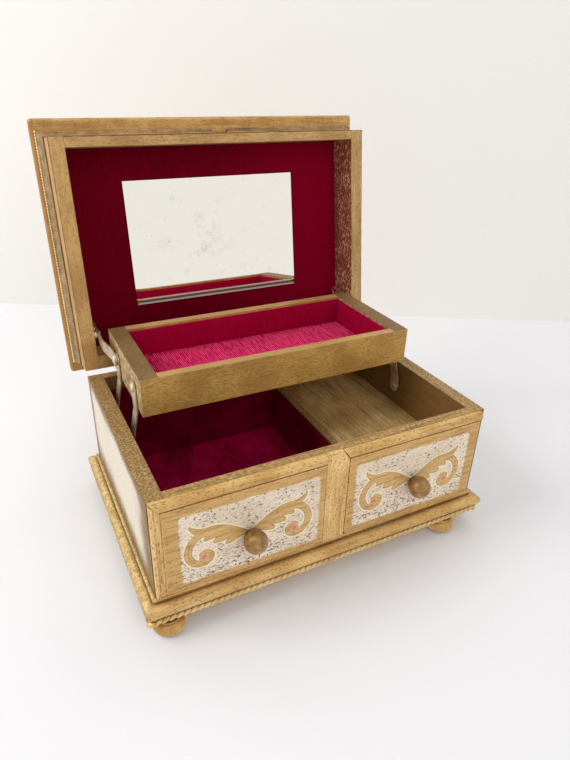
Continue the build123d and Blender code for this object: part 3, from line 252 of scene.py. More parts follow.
def giltMaterial(name, ownLook):
    look = {**plainGilt, **ownLook}
    material, tree, shader = startMaterial(name)
    place, normal = objectPlace(tree), ownNormal(tree)
    facing = split(normal)
    base, light, dark = [tone(*shade) for shade in look["shades"]]
    brush = noise(grainPlace(place, look, facing, look["across"], look["length"]), 1.0, 5.0, 0.62)
    grain = noise(grainPlace(place, look, facing, look["fineAcross"], look["fineLength"]), 1.0, 3.0, 0.6)
    cloud = noise(place, look["cloud"], 3.0, 0.5)
    speckLength = look["speckSize"] * look["dash"]
    speck = noise(grainPlace(place, look, facing, look["speckSize"], speckLength), 1.0, 2.0, 0.5)
    patch = noise(place, look["patchSize"], 3.0, 0.6)
    lighter = step(cloud, *look["cloudRange"])
    if look["mottleTop"]:
        lighter = times(lighter, step(facing[2], 0.5, 0.9))
    colour = laid(base, light, lighter)
    colour = laid(colour, dark, step(brush, *look["streakRange"]), look["streak"])
    colour = laid(colour, dark, step(grain, *look["grainRange"]), look["grain"])
    speckStart = 0.72 - 0.14 * look["speck"]
    speckled = step(plus(speck, times(patch, 0.16)), speckStart, speckStart + 0.08)
    colour = laid(colour, look["speckTone"], speckled, look["speckDepth"])
    rounded, nearEdge = softEdges(tree, look["edge"] * mm)
    rub = times(step(nearEdge, 0.02, 0.22), step(patch, *look["wearRange"]))
    if "joint" in look:
        rub = times(rub, step(fromLine(place, look["joint"]), 0.8 * mm, 1.6 * mm))
    colour = laid(colour, look["rubTone"], rub, look["rub"])
    # darker in crevices and where parts meet: partly a dark wash, partly painted shade
    colour = laid(colour, brownRubAndShade, creviceWashAndShade(tree, look["dirtReach"]), look["dirt"])
    if "wash" in look:
        colour = washedSide(place, colour, look["wash"], speckled, noise(place, look["wearSize"], 3.0, 0.5))
    if "ends" in look:
        endward = step(calc("ABSOLUTE", facing[0]), 0.8, 0.95)
        worn = step(noise(place, 300.0, 4.0, 0.65), 0.42, 0.62)
        colour = laid(colour, laid(look["ends"], look["endsWorn"], worn), endward, 0.7)
    if "top" in look:
        colour = laid(colour, look["top"], step(facing[2], 0.8, 0.95), look["topCover"])
    if "inner" in look:
        colour = mottledInner(place, colour, look["inner"], facing[0])
    # painted shadow: a broken dark line along the gap where rail and strip meet, on faces turned out of the
    # lid
    if "gap" in look:
        near = inverse(step(fromLine(place, look["gap"]), 0.2 * mm, 0.75 * mm))
        outward = step(dot(normal, tuple(-lidIn)), 0.5, 0.8)
        shadow = times(times(near, step(patch, 0.3, 0.5)), outward)
        colour = laid(colour, gapShadowTone, shadow, 0.8)
    # painted shade: the plate darker towards its far left edge
    if "leftShade" in look:
        leftShade = look["leftShade"]
        outer = step(times(split(place)[0], -1.0), leftShade["from"], leftShade["to"])
        colour = laid(colour, leftShade["tone"], outer, 0.7)
    # darker in flakes on the faces that do not face up
    if "darkOnSteepFaces" in look:
        steep = inverse(step(facing[2], -0.1, 0.62))
        flaked = step(noise(place, 430.0, 3.0, 0.6), 0.43, 0.6)
        colour = laid(colour, look["darkOnSteepFaces"], times(steep, flaked), 0.75)
    relief = minus(plus(brush, times(grain, 0.6)), speckled)
    setShader(
        shader,
        Base_Color=colour,
        Roughness=plus(look["rough"], times(brush, 0.18)),
        Metallic=look["metal"],
        Normal=bump(relief, look["reliefDepth"], look["relief"], rounded),
    )
    return material


def grainPlace(place, look, facing, across, length):
    # coordinates drawn out along the grain; where frontGrain is set, faces to the front have theirs along X
    scale = [across] * 3
    scale["xyz".index(look["along"])] = length
    own = stretched(place, scale, look["turn"])
    if not look["frontGrain"]:
        return own
    frontward = calc("GREATER_THAN", calc("ABSOLUTE", facing[1]), 0.7)
    front = stretched(place, (length, across, across), look["turn"])
    return joinNode("ShaderNodeMix", {0: frontward, 4: own, 5: front}, data_type="VECTOR").outputs[1]


def fromLine(place, line):
    # distance from the pair of lines at a reach to both sides of a middle, measured along one direction
    aside = calc("ABSOLUTE", minus(dot(place, line["way"]), line["middle"]))
    return calc("ABSOLUTE", minus(aside, line["reach"]))


def mottledInner(place, colour, inner, sideways):
    # inner face of a rail: red stain worn through in flecks that stand in clusters
    fleck = noise(stretched(place, inner["fleckSize"]), 1.0, 3.0, 0.6, 0.8)
    flecked = step(plus(fleck, times(noise(place, 70.0, 2.0), 0.3)), *inner["fleckRange"])
    inward = step(times(sideways, inner["side"]), 0.6, 0.9)
    return laid(colour, laid(inner["stain"], inner["fleck"], flecked), inward, 0.95)


def washedSide(place, colour, wash, speckled, cloud):
    # pale wash on the outer face, fading to gold near its edges
    x, y, z = split(place)
    fade = wash["fade"]
    outward = step(calc("ABSOLUTE", x), wash["face"] - 0.4 * mm, wash["face"] - 0.2 * mm)
    low = step(z, wash["low"], wash["low"] + fade)
    high = step(minus(wash["high"], z), 0.0, wash["topFade"])
    near = step(minus(y, wash["front"]), 0.0, fade)
    far = step(minus(wash["back"], y), 0.0, wash["backFade"])
    veil = times(times(low, high), times(near, far))
    uneven = step(plus(veil, minus(cloud, 0.5)), -0.05, 1.05)
    cover = times(outward, times(uneven, inverse(times(speckled, 0.3))))
    return laid(colour, wash["tone"], cover, wash["cover"])


trayWood = {
    "shades": ((188, 142, 72), (214, 170, 90), (134, 94, 46)),
    "across": 900.0, "length": 110.0, "streak": 0.4, "grain": 0.5, "cloud": 34.0,
    "speck": 0.8, "speckTone": tone(128, 90, 46), "speckDepth": 0.45, "dash": 0.3, "rubTone": paleRub,
    "joint": {"way": (1.0, 0.0, 0.0), "middle": 0.0, "reach": trayJoint},
}
railGap = {"way": (1.0, 0.0, 0.0), "middle": (railLeft + railRight) / 2, "reach": (railRight - railLeft) / 2}
upLid = {"along": "z", "turn": lidLean, "gap": railGap}
topGap = {"way": tuple(lidUp), "middle": 0.0, "reach": railTop}
acrossLid = {"along": "x", "turn": lidLean, "gap": topGap}
goldLooks = {
    "goldFront": {
        "shades": ((208, 164, 96), (228, 188, 120), (158, 112, 58)),
        "along": "x", "speck": 0.5, "dash": 0.4,
    },
    "goldSideways": {
        "shades": ((190, 158, 98), (226, 196, 134), (138, 106, 56)),
        "along": "y", "cloud": 330.0, "speck": 0.75, "speckTone": tone(128, 100, 54),
        # darker in flakes on the faces that do not face up
        "darkOnSteepFaces": tone(104, 86, 58),
    },
    "goldUpright": {
        "shades": ((226, 182, 114), (240, 202, 136), (162, 116, 62)),
        "along": "z", "edge": 1.0, "rub": 0.85,
        "speck": 0.6, "speckSize": 900.0, "speckTone": tone(124, 74, 44),
    },
    "rimFront": {
        "shades": ((160, 124, 72), (196, 162, 104), (112, 82, 44)),
        "along": "x", "cloud": 420.0, "mottleTop": True, "streak": 0.7, "rubTone": paleRub, "rub": 0.5,
    },
    "rimSide": {
        "shades": ((138, 106, 60), (192, 160, 106), (104, 76, 40)),
        "along": "y", "cloud": 720.0, "mottleTop": True, "speck": 0.7,
        "wash": {
            "tone": tone(240, 230, 212), "cover": 0.94, "face": halfCase,
            "fade": 30 * mm, "topFade": 12 * mm, "backFade": 15 * mm,
            "low": deckZ - 2 * mm, "high": rimZ, "front": frontY, "back": backY,
        },
    },
    "trayLong": {**trayWood, "along": "x", "rub": 0.7, "top": tone(196, 156, 104), "topCover": 0.6},
    "trayShort": {
        **trayWood, "along": "y", "frontGrain": True, "rub": 0.8, "top": tone(86, 68, 52), "topCover": 0.68,
        "ends": tone(132, 100, 62), "endsWorn": tone(216, 194, 152),
    },
    "lidAcross": {
        **acrossLid, "shades": ((188, 146, 90), (206, 168, 110), (140, 100, 56)),
        "across": 620.0, "length": 90.0,
        "speck": 0.8, "speckDepth": 0.4, "speckTone": tone(134, 94, 54), "dash": 0.35,
    },
    "lidUpward": {
        **upLid, "shades": ((190, 146, 86), (208, 166, 104), (142, 102, 58)),
        "across": 620.0, "length": 120.0, "streak": 0.4,
        "speck": 0.7, "speckDepth": 0.35, "speckTone": tone(138, 98, 56),
    },
    "lidRightRail": {
        **upLid, "shades": ((186, 148, 88), (206, 170, 110), (126, 90, 50)),
        "streak": 0.4, "speck": 0.5,
        "inner": {
            "stain": tone(154, 82, 58), "fleck": tone(248, 208, 170), "side": -1.0,
            "fleckSize": (1, 560, 330), "fleckRange": (0.66, 0.78),
        },
    },
    "lidStrip": {
        **upLid, "shades": ((158, 128, 86), (186, 156, 112), (104, 76, 46)),
        "cloud": 180.0, "speck": 0.6,
    },
    "lidStripTop": {
        **acrossLid, "shades": ((160, 124, 80), (186, 150, 104), (92, 64, 36)),
        "cloud": 180.0, "streak": 0.85, "speck": 0.7,
    },
    "baseRope": {
        "shades": ((224, 188, 122), (240, 210, 148), (168, 124, 66)),
        "along": "x", "speck": 0.3,
    },
    # pale gilt made paler still, a painted highlight along the lid's rope beads
    "lidRope": {
        "shades": ((238, 214, 152), (252, 234, 182), (190, 152, 92)),
        "along": "z", "turn": lidLean, "speck": 0.2,
    },
    "plateFace": {
        "shades": ((196, 152, 86), (214, 172, 106), (150, 108, 56)),
        "along": "x", "turn": lidLean, "streak": 0.45, "speck": 0.4, "dash": 0.35, "cloud": 120.0,
        # painted shade: darker towards the plate's far left edge
        "leftShade": {"from": -railLeft + 3 * mm, "to": -railLeft + 6 * mm, "tone": tone(160, 108, 44)},
    },
    "bronzeFloor": {
        "shades": ((214, 172, 104), (244, 208, 142), (104, 74, 36)),
        "along": "y", "across": 900.0, "length": 18.0, "streak": 0.9, "grain": 0.7, "speck": 0.1,
        "rough": 0.36, "metal": 0.4,
    },
    "rawWood": {
        "shades": ((150, 116, 76), (170, 134, 92), (104, 76, 46)),
        "along": "x", "grain": 0.6, "speck": 0.1, "rub": 0.2, "rough": 0.6, "metal": 0.0,
    },
    "knobGilt": {
        "shades": ((154, 119, 74), (182, 146, 94), (104, 76, 44)),
        "along": "y", "cloud": 200.0, "speck": 0.1, "edge": 0.3, "rough": 0.3, "metal": 0.75,
    },
    "footGilt": {
        "shades": ((192, 148, 82), (212, 170, 102), (140, 96, 46)),
        "along": "x", "cloud": 160.0, "speck": 0.2, "rough": 0.3, "metal": 0.5,
    },
}
finishes = {name: giltMaterial(name, look) for name, look in goldLooks.items()}
giltNodes = {
    "goldFront": ["base_moulding_front", "base_moulding_back", "top_strip", "drawer_top_strip"],
    "goldSideways": ["base_moulding_sides"],
    "goldUpright": ["corner_stile", "centre_stile", "false_drawer_front", "drawer_front"],
    "rimFront": ["front_wall", "back_wall", "divider"],
    "rimSide": ["left_wall", "right_wall"],
    "trayLong": ["tray_sides"],
    "trayShort": ["tray_ends"],
    "lidAcross": ["lid_front_rail", "lid_back_rail"],
    "lidStripTop": ["lid_moulding_front"],
    "lidUpward": ["lid_left_rail"],
    "lidStrip": ["lid_moulding_sides"],
    "lidRightRail": ["lid_right_rail"],
    "plateFace": ["lid_plate"],
    "bronzeFloor": ["compartment_floor"],
    "rawWood": [
        "bottom_board", "partition", "tray_bottom",
        "drawer_runners", "drawer_sides", "drawer_back", "drawer_bottom",
    ],
    "knobGilt": ["false_drawer_knob", "drawer_knob"],
    "footGilt": ["feet"],
}


def paint(members, material):
    for member in members:
        nodes[member].data.materials.clear()
        nodes[member].data.materials.append(material)


for finishName, members in giltNodes.items():
    paint(members, finishes[finishName])
print("gilt finishes done")


# Metals
plainMetal = {
    "hazeSize": 160.0, "dullRange": (0.42, 0.68), "edge": 0.25 * mm,
    "scratchSize": (900, 900, 60), "scratchDepth": 0.03 * mm,
}


def metalMaterial(name, look):
    material, tree, shader = startMaterial(name)
    place = objectPlace(tree)
    haze = noise(place, plainMetal["hazeSize"], 4.0, 0.6)
    scratch = noise(stretched(place, plainMetal["scratchSize"]), 1.0, 2.0, 0.5)
    rounded, nearEdge = softEdges(tree, plainMetal["edge"])
    colour = laid(look["base"], look["dull"], step(haze, *plainMetal["dullRange"]))
    setShader(
        shader,
        Base_Color=laid(colour, look["dull"], step(nearEdge, 0.02, 0.2), 0.5),
        Roughness=plus(look["rough"], times(scratch, 0.25)),
        Metallic=1.0,
        Normal=bump(scratch, plainMetal["scratchDepth"], 0.3, rounded),
    )
    return material


metalLooks = {
    "nickel": {"base": tone(232, 220, 198), "dull": tone(188, 170, 136), "rough": 0.34},
    "brassPlate": {"base": tone(196, 164, 100), "dull": tone(132, 100, 52), "rough": 0.3},
    "movementBrass": {"base": tone(210, 178, 104), "dull": tone(160, 128, 66), "rough": 0.22},
    "springSteel": {"base": tone(176, 176, 178), "dull": tone(110, 108, 108), "rough": 0.28},
}
finishes.update({name: metalMaterial(name, look) for name, look in metalLooks.items()})
metalNodes = {
    "nickel": [
        "front_legs", "rear_legs", "lid_bars", "leg_screws", "lid_bar_pins", "tray_rivets", "knob_screw",
    ],
    "brassPlate": [
        "hinge_body_leaves", "hinge_lid_leaves", "hinge_pins", "hinge_body_screws", "hinge_lid_screws",
    ],
    "movementBrass": [
        "movement_bedplate", "spring_barrel", "winding_key",
        "music_cylinder", "governor_bracket", "governor_fly",
    ],
    "springSteel": ["comb", "stop_wire", "movement_screws"],
}
for finishName, members in metalNodes.items():
    paint(members, finishes[finishName])


# Mirror with a few foxed spots, glued in a little steeper than the lid
mirrorLook = {
    "tilt": math.radians(1.8), "glass": tone(250, 248, 242),
    "haze": tone(222, 216, 206), "hazeRange": (0.54, 0.72),
    "smudge": tone(168, 150, 138), "smudgeRange": (0.57, 0.72),
    "spot": tone(120, 112, 104), "spotRange": (0.72, 0.78),
    # the lower bevel is painted pale as a reflection, crossed by a band of painted shade
    "bevelReflection": tone(236, 228, 220), "bevelShade": tone(136, 104, 86),
    "shadeStart": (1.4 * mm, 1.7 * mm), "shadeEnd": (3.4 * mm, 3.8 * mm),
}


def mirrorMaterial():
    material, tree, shader = startMaterial("mirrorGlass")
    place, normal = objectPlace(tree), ownNormal(tree)
    spots = step(noise(place, 420.0, 2.0, 0.5), *mirrorLook["spotRange"])
    smudge = step(noise(place, 34.0, 6.0, 0.8), *mirrorLook["smudgeRange"])
    haze = step(noise(stretched(place, (34, 60, 60)), 1.0, 5.0, 0.7), *mirrorLook["hazeRange"])
    colour = laid(mirrorLook["glass"], mirrorLook["haze"], haze, 0.35)
    colour = laid(colour, mirrorLook["smudge"], smudge, 0.35)
    colour = laid(colour, mirrorLook["spot"], spots, 0.6)
    # painted reflection and shade on the lower bevel: pale and less metallic, with a brownish band
    bevelReflection = step(dot(normal, tuple(-lidUp)), 0.1, 0.2)
    height = minus(dot(place, tuple(lidUp)), leanedBox("lid_mirror")[0][1])
    shaded = times(step(height, *mirrorLook["shadeStart"]), inverse(step(height, *mirrorLook["shadeEnd"])))
    colour = laid(colour, laid(mirrorLook["bevelReflection"], mirrorLook["bevelShade"], shaded), bevelReflection)
    inputs = {0: step(dot(normal, tuple(-lidIn)), 0.86, 0.9), 4: normal, 5: tuple(-lidIn)}
    even = joinNode("ShaderNodeMix", inputs, data_type="VECTOR").outputs[1]
    inputs = {"Vector": even, "Angle": mirrorLook["tilt"]}
    tilted = joinNode("ShaderNodeVectorRotate", inputs, rotation_type="X_AXIS").outputs[0]
    ways = {"vector_type": "NORMAL", "convert_from": "OBJECT", "convert_to": "WORLD"}
    setShader(
        shader,
        Base_Color=colour,
        Roughness=plus(plus(0.012, times(haze, 0.04)), times(bevelReflection, 0.1)),
        Metallic=inverse(times(bevelReflection, 0.55)),
        Normal=joinNode("ShaderNodeVectorTransform", {0: tilted}, **ways).outputs[0],
    )
    return material


finishes["mirrorGlass"] = mirrorMaterial()
paint(["lid_mirror"], finishes["mirrorGlass"])
print("metals and mirror done")


# Mesh helpers
def newObject(name, vertices, faces, material=None):
    mesh = bpy.data.meshes.new(name)
    mesh.from_pydata([tuple(v) for v in vertices], [], [tuple(f) for f in faces])
    mesh.update()
    obj = bpy.data.objects.new(name, mesh)
    scene.collection.objects.link(obj)
    if material:
        mesh.materials.append(material)
    return obj


def closedGrid(rows, columns, start=0):
    # faces of a grid of points, closed by a flat back that has only the points of its rim
    index = start + np.arange(rows * columns).reshape(rows, columns)
    quads = np.stack([index[:-1, :-1], index[1:, :-1], index[1:, 1:], index[:-1, 1:]], axis=-1)
    ring = np.concatenate([index[0, :], index[1:, -1], index[-1, -2::-1], index[-2:0:-1, 0]])
    rim = start + rows * columns + np.arange(len(ring))
    sides = np.stack([np.roll(ring, -1), ring, rim, np.roll(rim, -1)], axis=-1)
    return [*quads.reshape(-1, 4).tolist(), *sides.tolist(), rim.tolist()], ring - start


def faceOutwards(obj):
    shell = bmesh.new()
    shell.from_mesh(obj.data)
    bmesh.ops.recalc_face_normals(shell, faces=shell.faces)
    shell.to_mesh(obj.data)
    shell.free()


def addMarks(obj, **marks):
    for label, values in marks.items():
        layer = obj.data.attributes.new(label, "FLOAT", "POINT")
        layer.data.foreach_set("value", np.array(values, np.float32))


def addWays(obj, label, ways):
    layer = obj.data.attributes.new(label, "FLOAT_VECTOR", "POINT")
    layer.data.foreach_set("vector", np.array(ways, np.float32).ravel())


def smooth(obj, angle):
    obj.data.polygons.foreach_set("use_smooth", [True] * len(obj.data.polygons))
    obj.data.set_sharp_from_angle(angle=math.radians(angle))


def startGeometryTree(name, numbers=(), objects=()):
    tree = bpy.data.node_groups.new(name, "GeometryNodeTree")
    sockets = [("Geometry", "INPUT", "Geometry"), ("Geometry", "OUTPUT", "Geometry")]
    sockets += [(label, "INPUT", "Float") for label in numbers]
    sockets += [(label, "INPUT", "Object") for label in objects]
    for label, way, kind in sockets + [("Material", "INPUT", "Material")]:
        tree.interface.new_socket(label, in_out=way, socket_type="NodeSocket" + kind)
    return tree, tree.nodes.new("NodeGroupInput").outputs, tree.nodes.new("NodeGroupOutput").inputs


def endGeometryTree(geometry, source, result):
    whole = joinNode("GeometryNodeRealizeInstances", {0: geometry}).outputs[0]
    inputs = {"Geometry": whole, "Material": source["Material"]}
    plug(result["Geometry"], joinNode("GeometryNodeSetMaterial", inputs).outputs[0])


def runGeometryTree(obj, tree, values):
    # the tree's result becomes the object's own plain mesh
    modifier = obj.modifiers.new(tree.name, "NODES")
    modifier.node_group = tree
    for item in tree.interface.items_tree:
        if item.in_out == "INPUT" and item.name in values:
            modifier[item.identifier] = values[item.name]
    depsgraph = bpy.context.evaluated_depsgraph_get()
    plain = bpy.data.meshes.new_from_object(obj.evaluated_get(depsgraph))
    obj.modifiers.clear()
    first = obj.data
    obj.data = plain
    plain.name = obj.name
    bpy.data.meshes.remove(first)


def namedMarks(tree, label, kind):
    node = addNode(tree, "GeometryNodeInputNamedAttribute", {"Name": label}, data_type=kind)
    return node.outputs["Attribute"]


# Velvet: ribbed pile on glued panels
plainVelvet = {
    # the last two ranges set the painted light towards the right and the painted shade on the walls
    "napScale": 26.0, "napRange": (0.35, 0.68), "paintedLightRange": (-0.04, 0.12), "floorRange": (0.3, 0.9),
    "lint": 0.3, "lintRange": (0.81, 0.84), "lintTone": tone(222, 190, 196),
    "relief": 0.4, "pileDepth": 0.2 * mm,
}


def velvetMaterial(name, ownLook):
    look = {**plainVelvet, **ownLook}
    material, tree, shader = startMaterial(name)
    place = objectPlace(tree)
    weave = addNode(tree, "ShaderNodeUVMap", uv_map="weave").outputs[0]
    shine = addNode(tree, "ShaderNodeAttribute", attribute_name="shine").outputs["Fac"]
    wander = times(noise(place, 160.0, 2.0), 0.3)
    phase = times(plus(split(weave)[0], wander), 2 * math.pi)
    crest = times(plus(calc("COSINE", phase), 1.0), 0.5)
    tuft = noise(place, 2600.0, 2.0, 0.6)
    nap = noise(place, look["napScale"], 4.0, 0.6)
    broken = step(noise(stretched(weave, (1.4, 0.13, 1.0)), 1.0, 2.0, 0.6), 0.3, 0.6)
    # painted highlights along the rib crests, broken up, strongest on the floor
    lines = times(times(step(crest, 0.35, 0.85), shine), broken)
    colour = laid(look["base"], look["brushed"], step(nap, *look["napRange"]))
    # painted light: the lid's velvet lighter towards its right side
    if "paintedLight" in look:
        colour = laid(colour, look["paintedLight"], step(split(place)[0], *look["paintedLightRange"]), 0.8)
    # painted shade: the upright walls of a lining darker than its floor
    if "wall" in look:
        colour = laid(colour, look["wall"], inverse(step(shine, *look["floorRange"])), 0.7)
    colour = laid(colour, look["crest"], lines, look["lines"])
    lint = step(noise(place, 300.0, 1.0, 0.4), *look["lintRange"])
    colour = laid(colour, look["lintTone"], lint, look["lint"])
    setShader(
        shader,
        Base_Color=colour,
        Roughness=0.95,
        Sheen_Weight=look["sheen"],
        Sheen_Roughness=0.35,
        Sheen_Tint=look["sheenTone"],
        Specular_IOR_Level=0.04,
        Normal=bump(plus(times(crest, 0.7), times(tuft, 0.5)), look["pileDepth"], look["relief"]),
    )
    return material


# Light and shade painted into the linings: the lid's lighter right side, the darker upright walls and the
# pale highlights along the rib crests
velvetLooks = {
    "velvetLid": {
        "base": tone(96, 0, 20), "brushed": tone(106, 0, 24), "paintedLight": tone(138, 2, 36),
        "crest": tone(126, 2, 34), "lines": 0.4, "lint": 0.0,
        "sheenTone": tone(190, 10, 50), "sheen": 0.12, "relief": 0.25,
    },
    "velvetWell": {
        "base": tone(130, 0, 38), "brushed": tone(196, 8, 78), "wall": tone(84, 0, 20),
        "crest": tone(200, 28, 92), "lines": 0.5, "napScale": 34.0,
        "sheenTone": tone(210, 40, 90), "sheen": 0.25,
    },
    "velvetTray": {
        "base": tone(160, 0, 52), "brushed": tone(182, 2, 68), "wall": tone(146, 0, 44),
        "crest": tone(244, 84, 138), "lines": 0.95,
        "sheenTone": tone(230, 50, 110), "sheen": 0.2,
    },
}
finishes.update({name: velvetMaterial(name, look) for name, look in velvetLooks.items()})

ribTree, ribSource, ribResult = startGeometryTree("velvetRibs", ("Rib Pitch", "Rib Height"))
turns = calc("DIVIDE", namedMarks(ribTree, "across", "FLOAT"), ribSource["Rib Pitch"])
wave = calc("COSINE", times(turns, 2 * math.pi))
lift = times(minus(wave, 1.0), times(ribSource["Rib Height"], 0.5))
inputs = {0: namedMarks(ribTree, "pile", "FLOAT_VECTOR"), "Scale": lift}
shift = joinNode("ShaderNodeVectorMath", inputs, operation="SCALE").outputs[0]
ribbed = joinNode("GeometryNodeSetPosition", {"Geometry": ribSource["Geometry"], "Offset": shift}).outputs[0]
endGeometryTree(ribbed, ribSource, ribResult)


def panelGrid(corner, ways, size, look):
    # a fine face with rolled edges and the points under it; the first way goes over the ribs
    width, length = size
    roll = look["roll"]
    turn = roll * (1 - np.cos(np.linspace(0, math.pi / 2, 4)))[:-1]
    rows = []
    for reach, fine in ((width, look["ribPitch"] / look["ribSteps"]), (length, look["lengthStep"])):
        inner = np.linspace(roll, reach - roll, max(3, int((reach - 2 * roll) / fine)))
        rows.append(np.concatenate([turn, inner, reach - turn[::-1]]))
    first, second = np.meshgrid(*rows, indexing="ij")
    edge = np.minimum(np.minimum(first, width - first), np.minimum(second, length - second))
    inside = np.clip(edge, 0, roll)
    height = look["thick"] - roll + np.sqrt(np.maximum(roll**2 - (roll - inside) ** 2, 0))
    across, along, out = [np.array(way) for way in ways]
    top = np.array(corner) + first[..., None] * across + second[..., None] * along + height[..., None] * out
    return first, second, edge >= roll, top, top - height[..., None] * out


def velvetPiece(name, panels, look, material, body, node):
    vertices, faces, pile, across, weave, shine = [], [], [], [], [], []
    for corner, *ways, size, bright in panels:
        first, second, level, top, back = panelGrid(corner, ways, size, look)
        added, ring = closedGrid(*first.shape, len(vertices))
        faces += added
        order = np.concatenate([np.arange(first.size), ring])  # the rim's points come again for the back
        vertices += [*top.reshape(-1, 3), *back.reshape(-1, 3)[ring]]
        pile += [*(level.reshape(-1, 1) * np.array(ways[2])), *np.zeros((len(ring), 3))]
        shine += [bright] * len(order)
        across += [*first.ravel()[order]]
        weave += [*(np.stack([first.ravel(), second.ravel()], axis=1)[order] / look["ribPitch"])]
    obj = newObject(name, vertices, faces)
    faceOutwards(obj)
    layer = obj.data.uv_layers.new(name="weave")
    loopVertex = np.zeros(len(obj.data.loops), np.int64)
    obj.data.loops.foreach_get("vertex_index", loopVertex)
    layer.data.foreach_set("uv", np.array(weave, np.float32)[loopVertex].ravel())
    addWays(obj, "pile", pile)
    addMarks(obj, across=across, shine=shine)
    values = {"Rib Pitch": look["ribPitch"], "Rib Height": look["ribHeight"], "Material": material}
    runGeometryTree(obj, ribTree, values)
    smooth(obj, 60)
    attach(obj, body)
    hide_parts(node)


ribLook = {
    "ribPitch": 1.9 * mm, "ribSteps": 5, "ribHeight": 0.18 * mm, "wallShine": 0.2,
    "roll": 0.45 * mm, "lengthStep": 7 * mm, "thick": 1.0 * mm,
}
fineRibLook = {**ribLook, "ribPitch": 1.45 * mm, "ribHeight": 0.16 * mm, "wallShine": 0.06}
right, back, up = Vector((1, 0, 0)), Vector((0, 1, 0)), Vector((0, 0, 1))


def linedBox(low, high, tops, wallShine):
    # floor and four upright panels round the inside of a box; tops are the heights left, right, front, back
    width, depth = high[0] - low[0], high[1] - low[1]
    left, rightTop, front, rear = tops
    return [
        (low, right, back, up, (width, depth), 1.0),
        (low, back, up, right, (depth, left - low[2]), wallShine),
        ((high[0], low[1], low[2]), back, up, -right, (depth, rightTop - low[2]), wallShine),
        (low, right, up, back, (width, front - low[2]), wallShine),
        ((low[0], high[1], low[2]), right, up, -back, (width, rear - low[2]), wallShine),
    ]


wellLook = {"sideHeight": 46 * mm, "dividerDrop": 1 * mm}
low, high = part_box("left_lining")
wellSide = low.z + wellLook["sideHeight"]
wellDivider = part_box("divider")[1].z - wellLook["dividerDrop"]
wellTops = (wellSide, wellDivider, wellSide, high.z)
velvetPiece(
    "velvet_well",
    linedBox(low, high, wellTops, ribLook["wallShine"]),
    ribLook,
    finishes["velvetWell"],
    "case",
    "left_lining",
)
for name, holder in (("tray", "tray_bottom"), ("drawer", "drawer_bottom")):
    low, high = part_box(name + "_lining")
    velvetPiece(
        "velvet_" + name,
        linedBox(low, high, [high.z] * 4, fineRibLook["wallShine"]),
        fineRibLook,
        finishes["velvetTray"],
        name,
        name + "_lining",
    )


padLow, padHigh = leanedBox("lid_lining")
padSize = (padHigh[0] - padLow[0], padHigh[1] - padLow[1])
padCorner = right * padLow[0] + lidUp * padLow[1] + lidIn * padHigh[2]
velvetPiece(
    "velvet_lid",
    [(padCorner, right, lidUp, -lidIn, padSize, 1.0)],
    ribLook,
    finishes["velvetLid"],
    "lid",
    "lid_lining",
)
print("velvet done")


# Ropes of turned beads: one under the roll of the base, one along the lid's strips
baseRopeLook = {"stand": 5.2 * mm, "rise": 2.4 * mm, "pitch": 4.4 * mm, "radius": 2.1 * mm, "slant": 0.7}
lidRopeLook = {"inset": 0.5 * mm, "below": 1.1 * mm, "pitch": 2.0 * mm, "radius": 0.95 * mm, "slant": 0.2}
beadLook = {"rings": 6, "sides": 10, "overlap": 0.53, "fullness": 0.6}


def turnedShape(name, profile, sides, slant=0.0):
    # closed solid turned about X, from rows of distance along X and radius, both ends on the axis
    vertices = [(profile[0][0], 0, 0)]
    for along, radius in profile[1:-1]:
        for k in range(sides):
            turn = 2 * math.pi * k / sides
            y, z = radius * math.cos(turn), radius * math.sin(turn)
            vertices.append((along + slant * z, y, z))
    vertices.append((profile[-1][0], 0, 0))
    last = len(vertices) - 1
    faces = []
    for k in range(sides):
        after = (k + 1) % sides
        faces.append((0, 1 + after, 1 + k))
        for row in range(len(profile) - 3):
            a, b = 1 + row * sides + k, 1 + row * sides + after
            faces.append((a, b, b + sides, a + sides))
        faces.append((last, last - sides + k, last - sides + after))
    return newObject(name, vertices, faces)


def ropeBead(look):
    # one bead of the rope, wound a little
    half, rings = look["pitch"] * beadLook["overlap"], beadLook["rings"]
    profile = [(-half, 0)]
    for turn in [math.pi * i / rings for i in range(1, rings)]:
        profile.append((-half * math.cos(turn), look["radius"] * math.sin(turn) ** beadLook["fullness"]))
    return turnedShape("bead", [*profile, (half, 0)], beadLook["sides"], look["slant"])


def spreadOnPoints(points, thing, headings):
    turned = joinNode("FunctionNodeAlignRotationToVector", {"Vector": headings}, axis="X").outputs[0]
    shape = joinNode("GeometryNodeObjectInfo", {"Object": thing}).outputs["Geometry"]
    inputs = {"Points": points, "Instance": shape, "Rotation": turned}
    return joinNode("GeometryNodeInstanceOnPoints", inputs).outputs[0]


ropeTree, ropeSource, ropeResult = startGeometryTree("ropeAlongPath", ("Pitch",), ("Bead",))
ropeCurve = joinNode("GeometryNodeMeshToCurve", {0: ropeSource["Geometry"]}).outputs[0]
inputs = {"Curve": ropeCurve, "Length": ropeSource["Pitch"]}
spaced = joinNode("GeometryNodeResampleCurve", inputs, mode="LENGTH").outputs[0]
heading = addNode(ropeTree, "GeometryNodeInputTangent").outputs[0]
beads = spreadOnPoints(spaced, ropeSource["Bead"], heading)
endGeometryTree(beads, ropeSource, ropeResult)


def makeRope(name, points, edges, look, body, material):
    path = bpy.data.meshes.new(name)
    path.from_pydata([tuple(point) for point in points], edges, [])
    rope = bpy.data.objects.new(name, path)
    scene.collection.objects.link(rope)
    bead = ropeBead(look)
    runGeometryTree(rope, ropeTree, {"Pitch": look["pitch"], "Bead": bead, "Material": material})
    bpy.data.objects.remove(bead)
    smooth(rope, 70)
    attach(rope, body)


